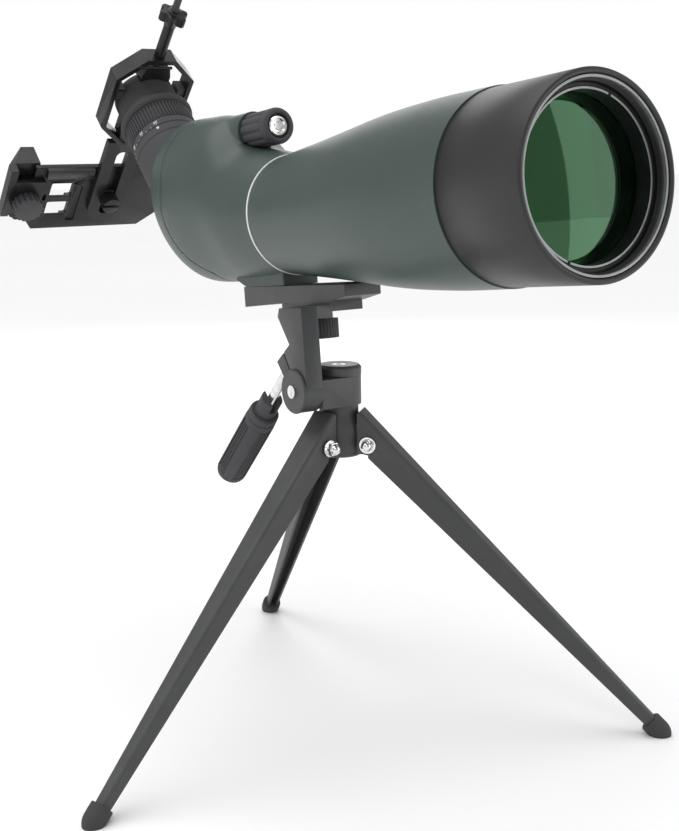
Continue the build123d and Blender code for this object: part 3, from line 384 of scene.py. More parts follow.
@dataclass(frozen=True)
class PlatedMetal:
    """Bright plated or turned metal with hairline scratches."""

    name: str
    colour: Colour
    dull: Colour
    roughness: float = 0.16

    def make(self) -> bpy.types.Material:
        """Build the material."""
        sheet = NodeSheet(self.name)
        smear = sheet.noise(4.0, 5.0, 0.6)
        hair = sheet.noise(0.12, 1.0, 0.5)
        return sheet.surface({
            "Base Color": sheet.blend(smear.above(0.55, 0.2), self.colour, self.dull),
            "Roughness": self.roughness + 0.12 * smear,
            "Metallic": 1.0,
            "Normal": sheet.bump(hair, 0.004),
        })


@dataclass(frozen=True)
class BlackenedMetal:
    """Anodised or blackened metal inside and around the optics."""

    name: str
    colour: Colour
    roughness: float = 0.34
    metallic: float = 0.5

    def make(self) -> bpy.types.Material:
        """Build the material."""
        sheet = NodeSheet(self.name)
        tone = sheet.noise(5.0, 4.0, 0.6)
        fine = sheet.noise(0.3, 2.0, 0.5)
        lighter = tuple(min(1.0, c * 1.7 + 0.004) for c in self.colour)
        return sheet.surface({
            "Base Color": sheet.blend(tone, self.colour, lighter),
            "Roughness": self.roughness + 0.1 * fine,
            "Metallic": self.metallic,
            "Normal": sheet.bump(fine, 0.006),
        })


@dataclass(frozen=True)
class CoatedGlass:
    """Optical glass with a coloured anti-reflection coating."""

    name: str
    tint: Colour
    sheen: Colour
    clear: float = 0.5
    roughness: float = 0.02

    def make(self) -> bpy.types.Material:
        """Build the material: a coloured mirror film over glass that lets light through."""
        sheet = NodeSheet(self.name)
        smear = sheet.noise(14.0, 3.0, 0.5)
        film = sheet.node("ShaderNodeBsdfPrincipled", {}, {
            "Base Color": self.sheen, "Metallic": 1.0,
            "Roughness": self.roughness + 0.03 * smear}, out="BSDF")
        body = sheet.node("ShaderNodeBsdfTransparent", {}, {"Color": self.tint}, out="BSDF")
        rim = sheet.node("ShaderNodeLayerWeight", {}, {"Blend": 0.35}, out="Facing")
        share = (1.0 - self.clear) * (0.55 + 0.9 * rim)
        mixed = sheet.node("ShaderNodeMixShader", {}, {0: share, 1: body, 2: film}, out=0)
        sheet.tree.links.new(mixed.socket, sheet.output.inputs["Surface"])
        return sheet.material


@dataclass(frozen=True)
class PrintedInk:
    """Pad-printed ink or enamel: flat, slightly broken at its edges."""

    name: str
    colour: Colour
    roughness: float = 0.4

    def make(self) -> bpy.types.Material:
        """Build the material."""
        sheet = NodeSheet(self.name)
        grain = sheet.noise(0.4, 3.0, 0.6)
        darker = tuple(c * 0.86 for c in self.colour)
        return sheet.surface({
            "Base Color": sheet.blend(grain.above(0.42, 0.2), darker, self.colour),
            "Roughness": self.roughness + 0.1 * grain,
            "Normal": sheet.bump(grain, 0.01),
        })


class Coat(Enum):
    """The finishes of the object, by where they are used."""

    GREEN = SatinLacquer("green_lacquer", (0.045, 0.070, 0.062), (0.038, 0.060, 0.053))
    HOOD = SatinLacquer("hood_lacquer", (0.016, 0.016, 0.017), (0.012, 0.012, 0.013), 0.44, 0.6,
                        0.016)
    WHITE = PrintedInk("white_enamel", (0.86, 0.86, 0.84), 0.3)
    BLACK = MouldedPlastic("black_plastic", (0.010, 0.010, 0.011), (0.034, 0.034, 0.036), 0.42)
    GREY = MouldedPlastic("adapter_plastic", (0.007, 0.007, 0.008), (0.018, 0.018, 0.019), 0.32,
                          0.5, 0.02)
    RUBBER = SoftRubber("rubber", (0.009, 0.009, 0.009), (0.018, 0.0175, 0.017))
    POWDER = PowderCoat("powder_coat", (0.036, 0.037, 0.038), (0.066, 0.067, 0.069))
    CASTING = PowderCoat("head_coat", (0.036, 0.037, 0.039), (0.064, 0.065, 0.068), 0.40, 0.55,
                         0.03)
    CHROME = PlatedMetal("chrome", (0.84, 0.84, 0.83), (0.66, 0.65, 0.63), 0.08)
    STEEL = PlatedMetal("turned_steel", (0.62, 0.61, 0.60), (0.46, 0.45, 0.44), 0.26)
    CELL = BlackenedMetal("blackened_cell", (0.008, 0.008, 0.009))
    # Light grey for thin bands on the front edges of the cell and the retaining ring: painted
    # highlights that stand for the light these edges catch.
    RETAINER = BlackenedMetal("painted_rim_highlight", (0.22, 0.225, 0.225), 0.30, 0.7)
    INSIDE = BlackenedMetal("dull_black", (0.006, 0.007, 0.006), 0.8, 0.0)
    OBJECTIVE = CoatedGlass("green_coated_glass", (0.20, 0.46, 0.26), (0.24, 0.44, 0.28), 0.72)
    GLASS = CoatedGlass("eyepiece_glass", (0.35, 0.42, 0.36), (0.35, 0.42, 0.75), 0.6)

    def material(self) -> bpy.types.Material:
        """Give the finish's material, made on first use."""
        made = bpy.data.materials.get(self.value.name)
        return made if made is not None else self.value.make()


# --------------------------------------------------------------------------------------
# Places and pieces
# --------------------------------------------------------------------------------------
@dataclass(frozen=True)
class Datum:
    """A local frame: its z runs along an axis of the object."""

    origin: Vector
    z: Vector
    x: Vector

    @property
    def y(self) -> Vector:
        """The third direction."""
        return self.z.cross(self.x)

    def matrix(self) -> Matrix:
        """Give the matrix from local millimetres to the object's metres."""
        turn = Matrix((self.x, self.y, self.z)).transposed()
        return Matrix.Translation(self.origin) @ turn.to_4x4() @ Matrix.Scale(MM, 4)

    def shifted(self, x: float = 0.0, y: float = 0.0, z: float = 0.0) -> "Datum":
        """Move the frame along its own directions.

        Args:
            x, y, z: distances in millimetres.

        Returns:
            The moved frame.
        """
        move = (self.x * x + self.y * y + self.z * z) * MM
        return Datum(self.origin + move, self.z, self.x)

    def turned(self, angle: float) -> "Datum":
        """Turn the frame about its z by an angle in degrees."""
        turn = Matrix.Rotation(math.radians(angle), 3, self.z)
        return Datum(self.origin, self.z, turn @ self.x)

    def facing(self, z: Vector, x: Vector) -> "Datum":
        """Give a frame at the same origin with other directions."""
        return Datum(self.origin, z.normalized(), x.normalized())


class Layout:
    """Where things are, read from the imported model."""

    def __init__(self, frame: dict[str, Any]) -> None:
        """Read the joints and set up the frames of the sub-assemblies."""
        self.joints = {j["name"]: j for j in frame["joints"]}
        left = Vector((0, 1, 0))
        low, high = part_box("trim_ring")
        forward = self.axis("sunshade_slide")
        self.optical = Datum((low + high) / 2, forward, left).shifted(z=41.0)
        self.focus = Datum(self.spot("focus_turn"), forward, left).shifted(z=70.0)
        eye = self.axis("zoom_turn")
        self.eyepiece = Datum(self.spot("zoom_turn"), eye, -left).shifted(z=-87.0)
        self.clamp = Datum(self.spot("clamp_turn"), self.axis("clamp_turn"), left)
        self.handle = Datum(self.spot("handle_twist"), self.axis("handle_twist"), left)
        self.pan = Datum(self.spot("pan"), Vector((0, 0, 1)), Vector((1, 0, 0)))

    def axis(self, joint: str) -> Vector:
        """Give a joint's axis."""
        return Vector(self.joints[joint]["axis"]).normalized()

    def spot(self, joint: str) -> Vector:
        """Give the point that a hinge turns about."""
        return Vector(self.joints[joint]["pos_m"])

    def leg(self, number: int) -> Datum:
        """Give a leg's frame: z down the leg, x across it, y out of its back.

        Args:
            number: the leg, from 1.

        Returns:
            The frame at the leg's hinge.
        """
        hinge = self.spot(f"leg_{number}_fold")
        across = self.axis(f"leg_{number}_fold")
        outward = Vector((across.y, -across.x, 0.0))
        middle = Vector((self.pan.origin.x, self.pan.origin.y, 0.0))
        run = middle + outward * STANCE_RADIUS * MM - hinge
        return Datum(hinge, run.normalized(), across)


def ring_profile(bm: bmesh.types.BMesh, points: Sequence[Pair], steps: int, closed: bool) -> None:
    """Spin a profile about local z.

    Args:
        bm: the mesh to fill.
        points: (radius, z) pairs in order.
        steps: the number of facets round the axis.
        closed: whether the last point joins the first.
    """
    verts = [bm.verts.new((r, 0.0, z)) for r, z in points]
    edges = [bm.edges.new(pair) for pair in zip(verts, verts[1:])]
    if closed:
        edges.append(bm.edges.new((verts[-1], verts[0])))
    bmesh.ops.spin(bm, geom=verts + edges, cent=(0, 0, 0), axis=(0, 0, 1), angle=math.tau,
                   steps=steps, use_merge=True, use_duplicate=False)
    bmesh.ops.remove_doubles(bm, verts=bm.verts, dist=0.0005)


def rounded(points: Sequence[Pair], radius: float, closed: bool = True,
            steps: int = 3) -> list[Pair]:
    """Round the corners of a profile.

    Args:
        points: its corners.
        radius: the largest rounding; a short side gets less.
        closed: whether the profile is a loop.
        steps: the number of segments in a corner.

    Returns:
        The points of the rounded profile.
    """
    count = len(points)
    made: list[Pair] = []
    for i, point in enumerate(points):
        here = Vector(point)
        if not closed and i in (0, count - 1):
            made.append(point)
            continue
        before, after = Vector(points[i - 1]), Vector(points[(i + 1) % count])
        back, ahead = before - here, after - here
        cut = min(radius, back.length * 0.45, ahead.length * 0.45)
        if back.angle(ahead, 0.0) > math.radians(165) or cut < 1e-4:
            made.append(point)
            continue
        start, end = here + back.normalized() * cut, here + ahead.normalized() * cut
        for k in range(steps + 1):
            t = k / steps
            mid = start * (1 - t) ** 2 + here * (2 * t * (1 - t)) + end * t ** 2
            made.append((mid.x, mid.y))
    return made


def polygon(bm: bmesh.types.BMesh, points: Sequence[Pair], z: float) -> bmesh.types.BMFace:
    """Add one flat face at a height, counter-clockwise seen from above."""
    return bm.faces.new([bm.verts.new((x, y, z)) for x, y in points])


def ease(bm: bmesh.types.BMesh, edges: Iterable[bmesh.types.BMEdge], offset: float,
         segments: int) -> None:
    """Round some edges.

    Args:
        bm: the mesh.
        edges: its edges to round.
        offset: the rounding.
        segments: the segments of the rounding.
    """
    bmesh.ops.bevel(bm, geom=list(edges), offset=offset, offset_type="OFFSET", affect="EDGES",
                    segments=segments, profile=0.5, material=-1, clamp_overlap=True)


def level_edges(bm: bmesh.types.BMesh) -> list[bmesh.types.BMEdge]:
    """Give the edges whose two corners are at one height."""
    return [e for e in bm.edges if abs(e.verts[0].co.z - e.verts[1].co.z) < SAME_LEVEL]


def moved_corners(made: dict[str, Any]) -> list[bmesh.types.BMVert]:
    """Give the corners that an extrusion has made."""
    return [g for g in made["geom"] if isinstance(g, bmesh.types.BMVert)]


def block(bm: bmesh.types.BMesh, points: Sequence[Pair], low: float, high: float,
          bevel: float = 0.0, segments: int = 2) -> None:
    """Add a prism on an outline, with rounded edges.

    Args:
        bm: the mesh to add to.
        points: the outline, counter-clockwise.
        low, high: its ends along local z.
        bevel: the rounding of all its edges.
        segments: the segments of the rounding.
    """
    face = polygon(bm, points, low)
    top = moved_corners(bmesh.ops.extrude_face_region(bm, geom=[face]))
    bmesh.ops.translate(bm, verts=top, vec=(0, 0, high - low))
    edges = {e for v in [*face.verts, *top] for e in v.link_edges}
    if bevel > 0:
        ease(bm, edges, bevel, segments)


def arc(radius: float, start: float, sweep: float, steps: int,
        centre: Pair = (0.0, 0.0)) -> list[Pair]:
    """Give points round an arc.

    Args:
        radius: its radius.
        start: the angle of its first point, in radians.
        sweep: how far it turns, counter-clockwise.
        steps: the number of its chords.
        centre: its middle.

    Returns:
        The points, both ends among them.
    """
    angles = (start + sweep * k / steps for k in range(steps + 1))
    return [(centre[0] + radius * math.cos(a), centre[1] + radius * math.sin(a)) for a in angles]


def polar(points: Sequence[Pair], angle: float) -> list[Pair]:
    """Turn an outline about the origin by an angle in radians."""
    c, s = math.cos(angle), math.sin(angle)
    return [(x * c - y * s, x * s + y * c) for x, y in points]


def face_outwards(bm: bmesh.types.BMesh) -> None:
    """Turn every closed shell of a mesh so that its faces point out of it."""
    bmesh.ops.recalc_face_normals(bm, faces=bm.faces)
    bm.normal_update()
    waiting = set(bm.faces)
    while waiting:
        shell = {waiting.pop()}
        edge_of = list(shell)
        while edge_of:
            near = {f for e in edge_of.pop().edges for f in e.link_faces} - shell
            shell |= near
            edge_of += near
        waiting -= shell
        start = next(iter(shell)).verts[0].co
        volume = sum(f.calc_area() * f.normal.dot(f.calc_center_median() - start)
                     for f in shell)
        if volume < 0:
            bmesh.ops.reverse_faces(bm, faces=list(shell))


def lobed(outer: float, inner: float, lobes: int, per_lobe: int = 8,
          power: float = 1.0) -> list[Pair]:
    """Give an outline that swells into lobes.

    Args:
        outer: radius at the top of a lobe.
        inner: radius between two lobes.
        lobes: how many there are.
        per_lobe: points in each.
        power: above 1 narrows the valleys.

    Returns:
        The outline's points.
    """
    points = []
    total = lobes * per_lobe
    for k in range(total):
        angle = math.tau * k / total
        swell = (0.5 + 0.5 * math.cos(angle * lobes))
        radius = inner + (outer - inner) * (1 - (1 - swell) ** power)
        points.append((radius * math.cos(angle), radius * math.sin(angle)))
    return points


class Workshop:
    """Turns meshes into named pieces of the object."""

    def __init__(self, frame: dict[str, Any], layout: Layout) -> None:
        """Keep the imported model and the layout."""
        self.frame = frame
        self.layout = layout
        self.count = 0

    def piece(self, name: str, bm: bmesh.types.BMesh, datum: Optional[Datum], coat: Coat,
              body: str, slot: str, stands_for: Iterable[str] = (),
              crease: float = 32.0) -> bpy.types.Object:
        """Finish a mesh as a piece that rides on a body.

        Args:
            name: the piece's name.
            bm: its mesh, which is used up.
            datum: its local frame, or None if it is already in place.
            coat: its finish.
            body: the body that it moves with.
            slot: the material slot of the record; not used.
            stands_for: the nodes that it replaces.
            crease: edges sharper than this many degrees stay sharp.

        Returns:
            The piece.
        """
        if datum is not None:
            bm.transform(datum.matrix())
        face_outwards(bm)
        return self.placed(name, bm, coat, body, stands_for, crease)

    def placed(self, name: str, bm: bmesh.types.BMesh, coat: Coat, body: str,
               stands_for: Iterable[str], crease: float) -> bpy.types.Object:
        """Make a piece of a mesh that is in place, with the arguments of piece()."""
        mesh = bpy.data.meshes.new(name)
        bm.to_mesh(mesh)
        bm.free()
        mesh.shade_smooth()
        mesh.set_sharp_from_angle(angle=math.radians(crease))
        mesh.materials.append(coat.material())
        made = bpy.data.objects.new(name, mesh)
        bpy.context.scene.collection.objects.link(made)
        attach(made, body)
        nodes = list(stands_for)
        if nodes:
            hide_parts(*nodes)
        self.count += 1
        log.info("%s: %d faces on %s", name, len(mesh.polygons), body)
        return made

    def turn(self, name: str, points: Sequence[Pair], datum: Datum, coat: Coat, body: str,
             slot: str, stands_for: Iterable[str] = (), crease: float = 32.0,
             steps: int = 150, closed: bool = True) -> bpy.types.Object:
        """Turn a piece from one profile, as on a lathe.

        Args:
            name, datum, coat, body, slot, stands_for, crease: as for piece().
            points: (radius, z) pairs in order.
            steps: the number of facets round the axis.
            closed: whether the last point joins the first.

        Returns:
            The piece.
        """
        bm = bmesh.new()
        ring_profile(bm, points, steps, closed)
        return self.piece(name, bm, datum, coat, body, slot, stands_for, crease)

    def dressed(self, node: str, coat: Coat, body: str, slot: str, bevel: float = 0.35,
                segments: int = 2, angle: float = 34.0) -> bpy.types.Object:
        """Stand a copy with eased edges in for a node.

        Args:
            node: the node.
            coat: the copy's finish.
            body: the body that it rides on.
            slot: the material slot of the record; not used.
            bevel: the rounding of the edges in millimetres.
            segments: the segments of the rounding.
            angle: edges sharper than this many degrees are eased.

        Returns:
            The copy.
        """
        made = self.placed(f"{node}_eased", self.merged(node), coat, body, [node], angle)
        eased = made.modifiers.new("eased_edges", "BEVEL")
        eased.width = bevel * MM
        eased.segments = segments
        eased.limit_method = "ANGLE"
        eased.angle_limit = math.radians(angle)
        eased.harden_normals = False
        eased.use_clamp_overlap = True
        eased.miter_outer = "MITER_ARC"
        return made

    def merged(self, node: str) -> bmesh.types.BMesh:
        """Give a copy of a node's mesh with its loose corners joined."""
        bm = bmesh.new()
        bm.from_mesh(self.frame["nodes"][node].data)
        bmesh.ops.remove_doubles(bm, verts=bm.verts, dist=MERGE)
        return bm

    def skin(self, node: str, coat: Coat, body: str, slot: str,
             crease: float = 26.0) -> bpy.types.Object:
        """Stand a merged, smoothly shaded copy in for a node with curved faces.

        Args:
            node: the node.
            coat: the copy's finish.
            body: the body that it rides on.
            slot: the material slot of the record; not used.
            crease: edges sharper than this many degrees stay sharp.

        Returns:
            The copy.
        """
        return self.placed(f"{node}_skin", self.merged(node), coat, body, [node], crease)

    def coat_node(self, node: str, coat: Coat) -> None:
        """Give a node that keeps its own shape a better finish."""
        slots = self.frame["nodes"][node].material_slots
        for one in slots:
            one.material = coat.material()
        log.info("%s: coated with %s", node, coat.name)


def flowing(points: Sequence[Pair], per_span: int = 10) -> list[Pair]:
    """Run a smooth curve through a few points.

    Args:
        points: the points that it passes, in order.
        per_span: the number of steps between two of them.

    Returns:
        Points along the curve.
    """
    ends = [points[0], *points, points[-1]]
    made: list[Pair] = []
    for i in range(1, len(ends) - 2):
        a, b, c, d = (Vector(p) for p in ends[i - 1:i + 3])
        for k in range(per_span):
            t = k / per_span
            p = 0.5 * (2 * b + (c - a) * t + (2 * a - 5 * b + 4 * c - d) * t ** 2
                       + (3 * b - a - 3 * c + d) * t ** 3)
            made.append((p.x, p.y))
    made.append(tuple(points[-1]))
    return made


# --------------------------------------------------------------------------------------
# Scope
# --------------------------------------------------------------------------------------
@dataclass
class Barrel:
    """The flared body tube and its trim ring."""

    shop: Workshop
    start: float = -40.3
    neck_start: float = 153.8
    neck_radius: float = 44.5
    neck_end: float = 205.0
    wall: float = 2.3
    outline: tuple[Pair, ...] = ((35.7, -40.3), (39.2, 0.0), (42.9, 37.0), (45.6, 63.0),
                                 (47.2, 85.0), (48.2, 112.0), (48.3, 130.0), (48.1, 153.8))
    steps: int = 180

    def shell(self) -> None:
        """Turn the tube: flare, neck for the sunshade and spigot for the housing."""
        outer = flowing(self.outline, 8)
        inner = [(r - self.wall, z) for r, z in reversed(outer) if z < self.neck_start - 6]
        points = outer + [(self.neck_radius, self.neck_start), (self.neck_radius, self.neck_end),
                          (self.neck_radius - 2.3, self.neck_end),
                          (self.neck_radius - 2.3, self.neck_start - 4)] + inner
        points += [(30.4, self.start), (30.4, self.start - 9), (32.8, self.start - 9),
                   (32.8, self.start)]
        self.shop.turn("barrel_tube", points, self.shop.layout.optical, Coat.GREEN, "scope",
                       "body_green", ["barrel_shell"], steps=self.steps)

    def ring(self) -> None:
        """Turn the thin white ring between barrel and housing."""
        points = rounded([(32.9, -41.6), (36.2, -41.6), (36.2, -40.4), (32.9, -40.4)], 0.4)
        self.shop.turn("white_ring", points, self.shop.layout.optical, Coat.WHITE, "scope",
                       "trim_white", ["trim_ring"], steps=self.steps)

    def build(self) -> None:
        """Make all of it."""
        self.shell()
        self.ring()


@dataclass
class Sunshade:
    """The sliding hood: a plain tube with a machined rim."""

    shop: Workshop
    rear: float = 154.1
    front: float = 211.6
    outer: float = 47.5
    inner: float = 44.6
    steps: int = 180

    def build(self) -> None:
        """Turn the hood, with a stepped rim."""
        points = [(self.outer, self.rear + 0.5), (self.outer, self.front - 1.1),
                  (self.outer - 0.35, self.front - 0.35), (self.outer - 1.0, self.front),
                  (self.inner + 0.7, self.front), (self.inner + 0.2, self.front - 0.5),
                  (self.inner + 0.05, self.front - 1.2), (self.inner, self.rear),
                  (self.outer - 0.5, self.rear)]
        self.shop.turn("hood", points, self.shop.layout.optical, Coat.HOOD, "sunshade",
                       "hood_black", ["sunshade"], crease=50, steps=self.steps)


@dataclass
class ObjectiveGroup:
    """The cell, its glass and the rings that hold it."""

    shop: Workshop
    glass_radius: float = 39.9
    steps: int = 160
    notches: tuple[float, float] = (-1.95, -1.95 + math.pi)

    def cell(self) -> None:
        """Turn the cell: a flange and a threaded bore."""
        points: list[Pair] = [(42.1, 176.0), (42.1, 205.05), (44.35, 205.05), (44.35, 208.2),
                              (44.0, 208.6), (43.2, 208.6)]
        z = 208.2
        while z > 204.9:
            points += [(42.7, z), (42.25, z - 0.3)]
            z -= 0.6
        points += [(42.2, 204.7), (40.15, 204.7), (40.15, 185.2), (37.6, 185.0), (37.6, 183.4),
                   (40.15, 183.2), (40.15, 176.0)]
        self.shop.turn("lens_cell", points, self.shop.layout.optical, Coat.CELL, "scope",
                       "cell_alloy", ["objective_cell"], steps=self.steps)

    def retainer(self) -> None:
        """Turn the notched ring that holds the lens, and grey bands painted on the cell's and the
        ring's front edges as highlights.
        """
        points = rounded([(38.65, 195.6), (39.95, 195.6), (39.95, 204.6), (39.1, 204.6),
                          (38.65, 200.0)], 0.2)
        self.shop.turn("lens_ring", points, self.shop.layout.optical, Coat.CELL, "scope",
                       "black_plastic", ["lens_retainer"], steps=self.steps)
        # The two light grey bands are painted highlights on the front edges of the cell and the
        # retaining ring; the dark step keeps the cell's own colour.
        for name, coat, low, inner, outer, rise in (
                ("cell_edge_painted_highlight", Coat.RETAINER, 208.3, 43.0, 44.3, 2.2),
                ("ring_edge_painted_highlight", Coat.RETAINER, 204.3, 38.75, 39.9, 0.55),
                ("cell_step", Coat.CELL, 204.5, 40.3, 42.1, 0.35)):
            band = [(inner, low), (outer, low), (outer, low + rise), (inner, low + rise)]
            self.shop.turn(name, rounded(band, 0.25), self.shop.layout.optical, coat, "scope",
                           "cell_alloy", steps=self.steps)
        bm = bmesh.new()
        notch = [(38.6, 0.9), (38.6, -0.9), (40.05, -0.9), (40.05, 0.9)]
        for angle in self.notches:
            block(bm, polar(notch, angle), 204.2, 205.0, 0.1, 1)
        self.shop.piece("ring_notches", bm, self.shop.layout.optical, Coat.INSIDE, "scope",
                        "cell_alloy")

    def glass(self) -> None:
        """Turn the two elements with round, closely stepped faces."""
        def dome(vertex: float, sag: float, count: int = 20) -> list[Pair]:
            """Give points of a spherical face from its middle to its edge."""
            curve = (self.glass_radius ** 2 + sag ** 2) / (2 * abs(sag))
            sign = 1 if sag > 0 else -1
            radii = (self.glass_radius * k / count for k in range(count + 1))
            return [(r, vertex - sign * (curve - math.sqrt(curve ** 2 - r ** 2))) for r in radii]

        for name, node, front, front_sag, back, back_sag in (
                ("front_element", "crown_lens", 198.4, 3.2, 189.4, -2.2),
                ("rear_element", "flint_lens", 189.1, -2.2, 185.4, 0.05)):
            points = dome(front, front_sag) + dome(back, back_sag)[::-1]
            self.shop.turn(name, points, self.shop.layout.optical, Coat.OBJECTIVE, "scope",
                           "optical_glass", [node], steps=self.steps, closed=False)

    def build(self) -> None:
        """Make all of it."""
        self.cell()
        self.retainer()
        self.glass()
        self.shop.coat_node("baffles", Coat.INSIDE)


@dataclass
class Housing:
    """The prism housing, its rear cover and what is inside."""

    shop: Workshop

    def build(self) -> None:
        """Dress the castings and blacken the inside."""
        for node in ("prism_housing", "rear_cover"):
            self.shop.skin(node, Coat.GREEN, "scope", "body_green")
        self.shop.dressed("mounting_foot", Coat.GREEN, "scope", "body_green", 0.3)
        self.shop.coat_node("roof_prism", Coat.GLASS)
        self.shop.coat_node("prism_bracket", Coat.INSIDE)
        self.shop.coat_node("focus_carriage", Coat.INSIDE)
        self.shop.coat_node("focus_lens", Coat.GLASS)


@dataclass
class FocusDrive:
    """The ribbed focus knob on its boss."""

    shop: Workshop
    rear: float = -85.5
    band: float = -61.5
    front: float = -56.3
    radius: float = 11.0
    ribs: int = 12

    def knob(self) -> None:
        """Mould the grip: broad ribs, a plain band and a recessed dark end."""
        bm = bmesh.new()
        outline = lobed(self.radius, self.radius - 0.95, self.ribs, 12, 3.0)
        block(bm, outline, self.rear + 0.4, self.band, 0.0)
        ease(bm, level_edges(bm), 0.35, 2)
        band = [(0.0, self.band - 0.6), (10.4, self.band - 0.6), (self.radius, self.band),
                (self.radius, self.front - 2.2),
                (self.radius - 0.5, self.front - 0.8), (self.radius - 1.7, self.front),
                (8.1, self.front), (7.6, self.front - 0.4), (7.3, self.front - 3.0),
                (0.0, self.front - 3.0)]
        ring_profile(bm, band, 96, closed=False)
        collar = [(0.0, self.rear), (10.3, self.rear), (10.5, self.rear + 0.2),
                  (10.5, self.rear + 0.5), (0.0, self.rear + 0.5)]
        ring_profile(bm, collar, 96, closed=False)
        self.shop.piece("focus_grip", bm, self.shop.layout.focus, Coat.BLACK, "focus_knob",
                        "black_plastic", ["focus_knob"], crease=40)

    def cap(self) -> None:
        """Turn the polished end cap with a coined ring."""
        z = self.front - 2.95
        points = [(0.0, z + 1.5), (2.2, z + 1.55), (2.6, z + 1.2), (3.8, z + 1.3),
                  (4.6, z + 2.3), (5.6, z + 2.45), (6.3, z + 1.9), (6.5, z), (0.0, z)]
        self.shop.turn("focus_end_cap", points, self.shop.layout.focus, Coat.CHROME,
                       "focus_knob", "bright_steel", ["focus_knob_cap"], steps=72, closed=False)

    def build(self) -> None:
        """Make all of it."""
        self.knob()
        self.cap()
        self.shop.coat_node("focus_shaft", Coat.STEEL)


@dataclass
class Eyepiece:
    """The angled zoom eyepiece: collar, zoom ring with its scale, and rubber cup."""

    shop: Workshop
    collar_end: float = 77.0
    zoom_end: float = 97.8
    dial_radius: float = 24.35
    grip_ribs: int = 64
    powers: tuple[int, ...] = (20, 25, 30, 40, 50, 60)
    ticks: int = 16
    dial_spread: float = 150.0
    index_angle: float = 52.0

    def collar(self) -> None:
        """Add the stepped top of the collar, with its white index dot."""
        step = rounded([(24.2, 70.2), (25.05, 70.2), (25.05, 73.2), (24.7, 73.6), (24.7, 76.2),
                        (24.2, 76.9), (23.0, 76.9), (23.0, 70.2)], 0.3)
        self.shop.turn("collar_step", step, self.shop.layout.eyepiece, Coat.BLACK, "scope",
                       "black_plastic")
        spot = self.shop.layout.eyepiece.turned(self.index_angle).shifted(x=24.62, z=74.9)
        spot = spot.facing(spot.x, spot.y)
        dot = [(0.0, 0.42), (0.7, 0.4), (0.95, 0.2), (0.98, -0.4), (0.0, -0.4)]
        self.shop.turn("index_dot", dot, spot, Coat.WHITE, "scope", "trim_white", steps=28,
                       closed=False)

    def zoom_ring(self) -> None:
        """Mould the zoom ring: a plain band for the scale and a fine-ribbed grip."""
        band_top = self.collar_end + 6.0
        bm = bmesh.new()
        plain = [(19.2, self.collar_end + 0.35), (23.9, self.collar_end + 0.35),
                 (24.35, self.collar_end + 0.8), (24.35, band_top - 0.5), (24.0, band_top),
                 (23.4, band_top + 0.2), (23.4, self.zoom_end - 1.2), (24.3, self.zoom_end - 1.0),
                 (24.3, self.zoom_end - 0.3), (23.9, self.zoom_end), (19.2, self.zoom_end)]
        ring_profile(bm, plain, 150, closed=True)
        rib = [(22.9, -0.72), (24.25, -0.62), (24.6, -0.3), (24.6, 0.3), (24.25, 0.62),
               (22.9, 0.72)]
        for k in range(self.grip_ribs):
            block(bm, polar(rib, math.tau * k / self.grip_ribs), band_top + 0.4,
                  self.zoom_end - 1.3, 0.18, 1)
        self.shop.piece("zoom_grip", bm, self.shop.layout.eyepiece, Coat.BLACK, "zoom_ring",
                        "black_plastic", ["zoom_ring"], crease=40)

    def on_dial(self, share: float) -> float:
        """Give the angle, in radians, at a share of the dial's spread."""
        return math.radians(self.index_angle - self.dial_spread * share)

    def numeral(self, bm: bmesh.types.BMesh, text: str, angle: float) -> None:
        """Add a number, bent round the dial.

        Args:
            bm: the mesh to add to.
            text: the number.
            angle: where its middle is, in radians.
        """
        curve = bpy.data.curves.new("numeral", "FONT")
        curve.body = text
        curve.size = 3.1
        curve.align_x = "CENTER"
        curve.align_y = "CENTER"
        curve.extrude = 0.12
        curve.resolution_u = 3
        letters = bpy.data.objects.new("numeral", curve)
        bpy.context.scene.collection.objects.link(letters)
        seen = letters.evaluated_get(bpy.context.evaluated_depsgraph_get())
        flat = bpy.data.meshes.new_from_object(seen)
        before = len(bm.verts)
        bm.from_mesh(flat)
        bm.verts.ensure_lookup_table()
        for vert in bm.verts[before:]:
            x, y, z = vert.co
            bend = angle - x / self.dial_radius
            radius = self.dial_radius + 0.02 + z
            vert.co = (radius * math.cos(bend), radius * math.sin(bend),
                       self.collar_end + 3.4 - y)
        bpy.data.objects.remove(letters)
        bpy.data.curves.remove(curve)
        bpy.data.meshes.remove(flat)

    def scale(self) -> None:
        """Print the magnifications and tick marks round the plain band."""
        bm = bmesh.new()
        for k, power in enumerate(self.powers):
            self.numeral(bm, str(power), self.on_dial(k / (len(self.powers) - 1)))
        bmesh.ops.remove_doubles(bm, verts=bm.verts, dist=0.0005)
        tick = [(24.2, -0.16), (24.47, -0.16), (24.47, 0.16), (24.2, 0.16)]
        for k in range(self.ticks):
            block(bm, polar(tick, self.on_dial(k / (self.ticks - 1))), self.collar_end + 0.95,
                  self.collar_end + 1.55)
        self.shop.piece("zoom_scale", bm, self.shop.layout.eyepiece, Coat.WHITE, "zoom_ring",
                        "trim_white")

    def cup(self) -> None:
        """Turn the fold-down rubber cup, with a rolled shoulder and fine rings."""
        z = self.zoom_end
        points: list[Pair] = [(19.2, z + 0.35), (24.6, z + 0.35), (25.7, z + 0.9),
                              (26.35, z + 2.2), (26.5, z + 3.6), (26.2, z + 5.2), (25.2, z + 6.7),
                              (23.8, z + 7.9), (22.6, z + 9.0), (22.0, z + 10.4)]
        for k in range(6):
            low = z + 12.0 + 2.6 * k
            points += [(21.75, low), (21.35, low + 0.35), (21.35, low + 0.75), (21.7, low + 1.1)]
        points += [(21.5, 129.3), (21.0, 130.6), (20.2, 131.0), (18.6, 131.0), (17.8, 130.4),
                   (17.5, 129.0), (17.2, 118.4), (17.2, z + 4.2), (19.2, z + 4.2)]
        self.shop.turn("eyecup_rubber", points, self.shop.layout.eyepiece, Coat.RUBBER, "scope",
                       "rubber", ["eyecup"], crease=50)

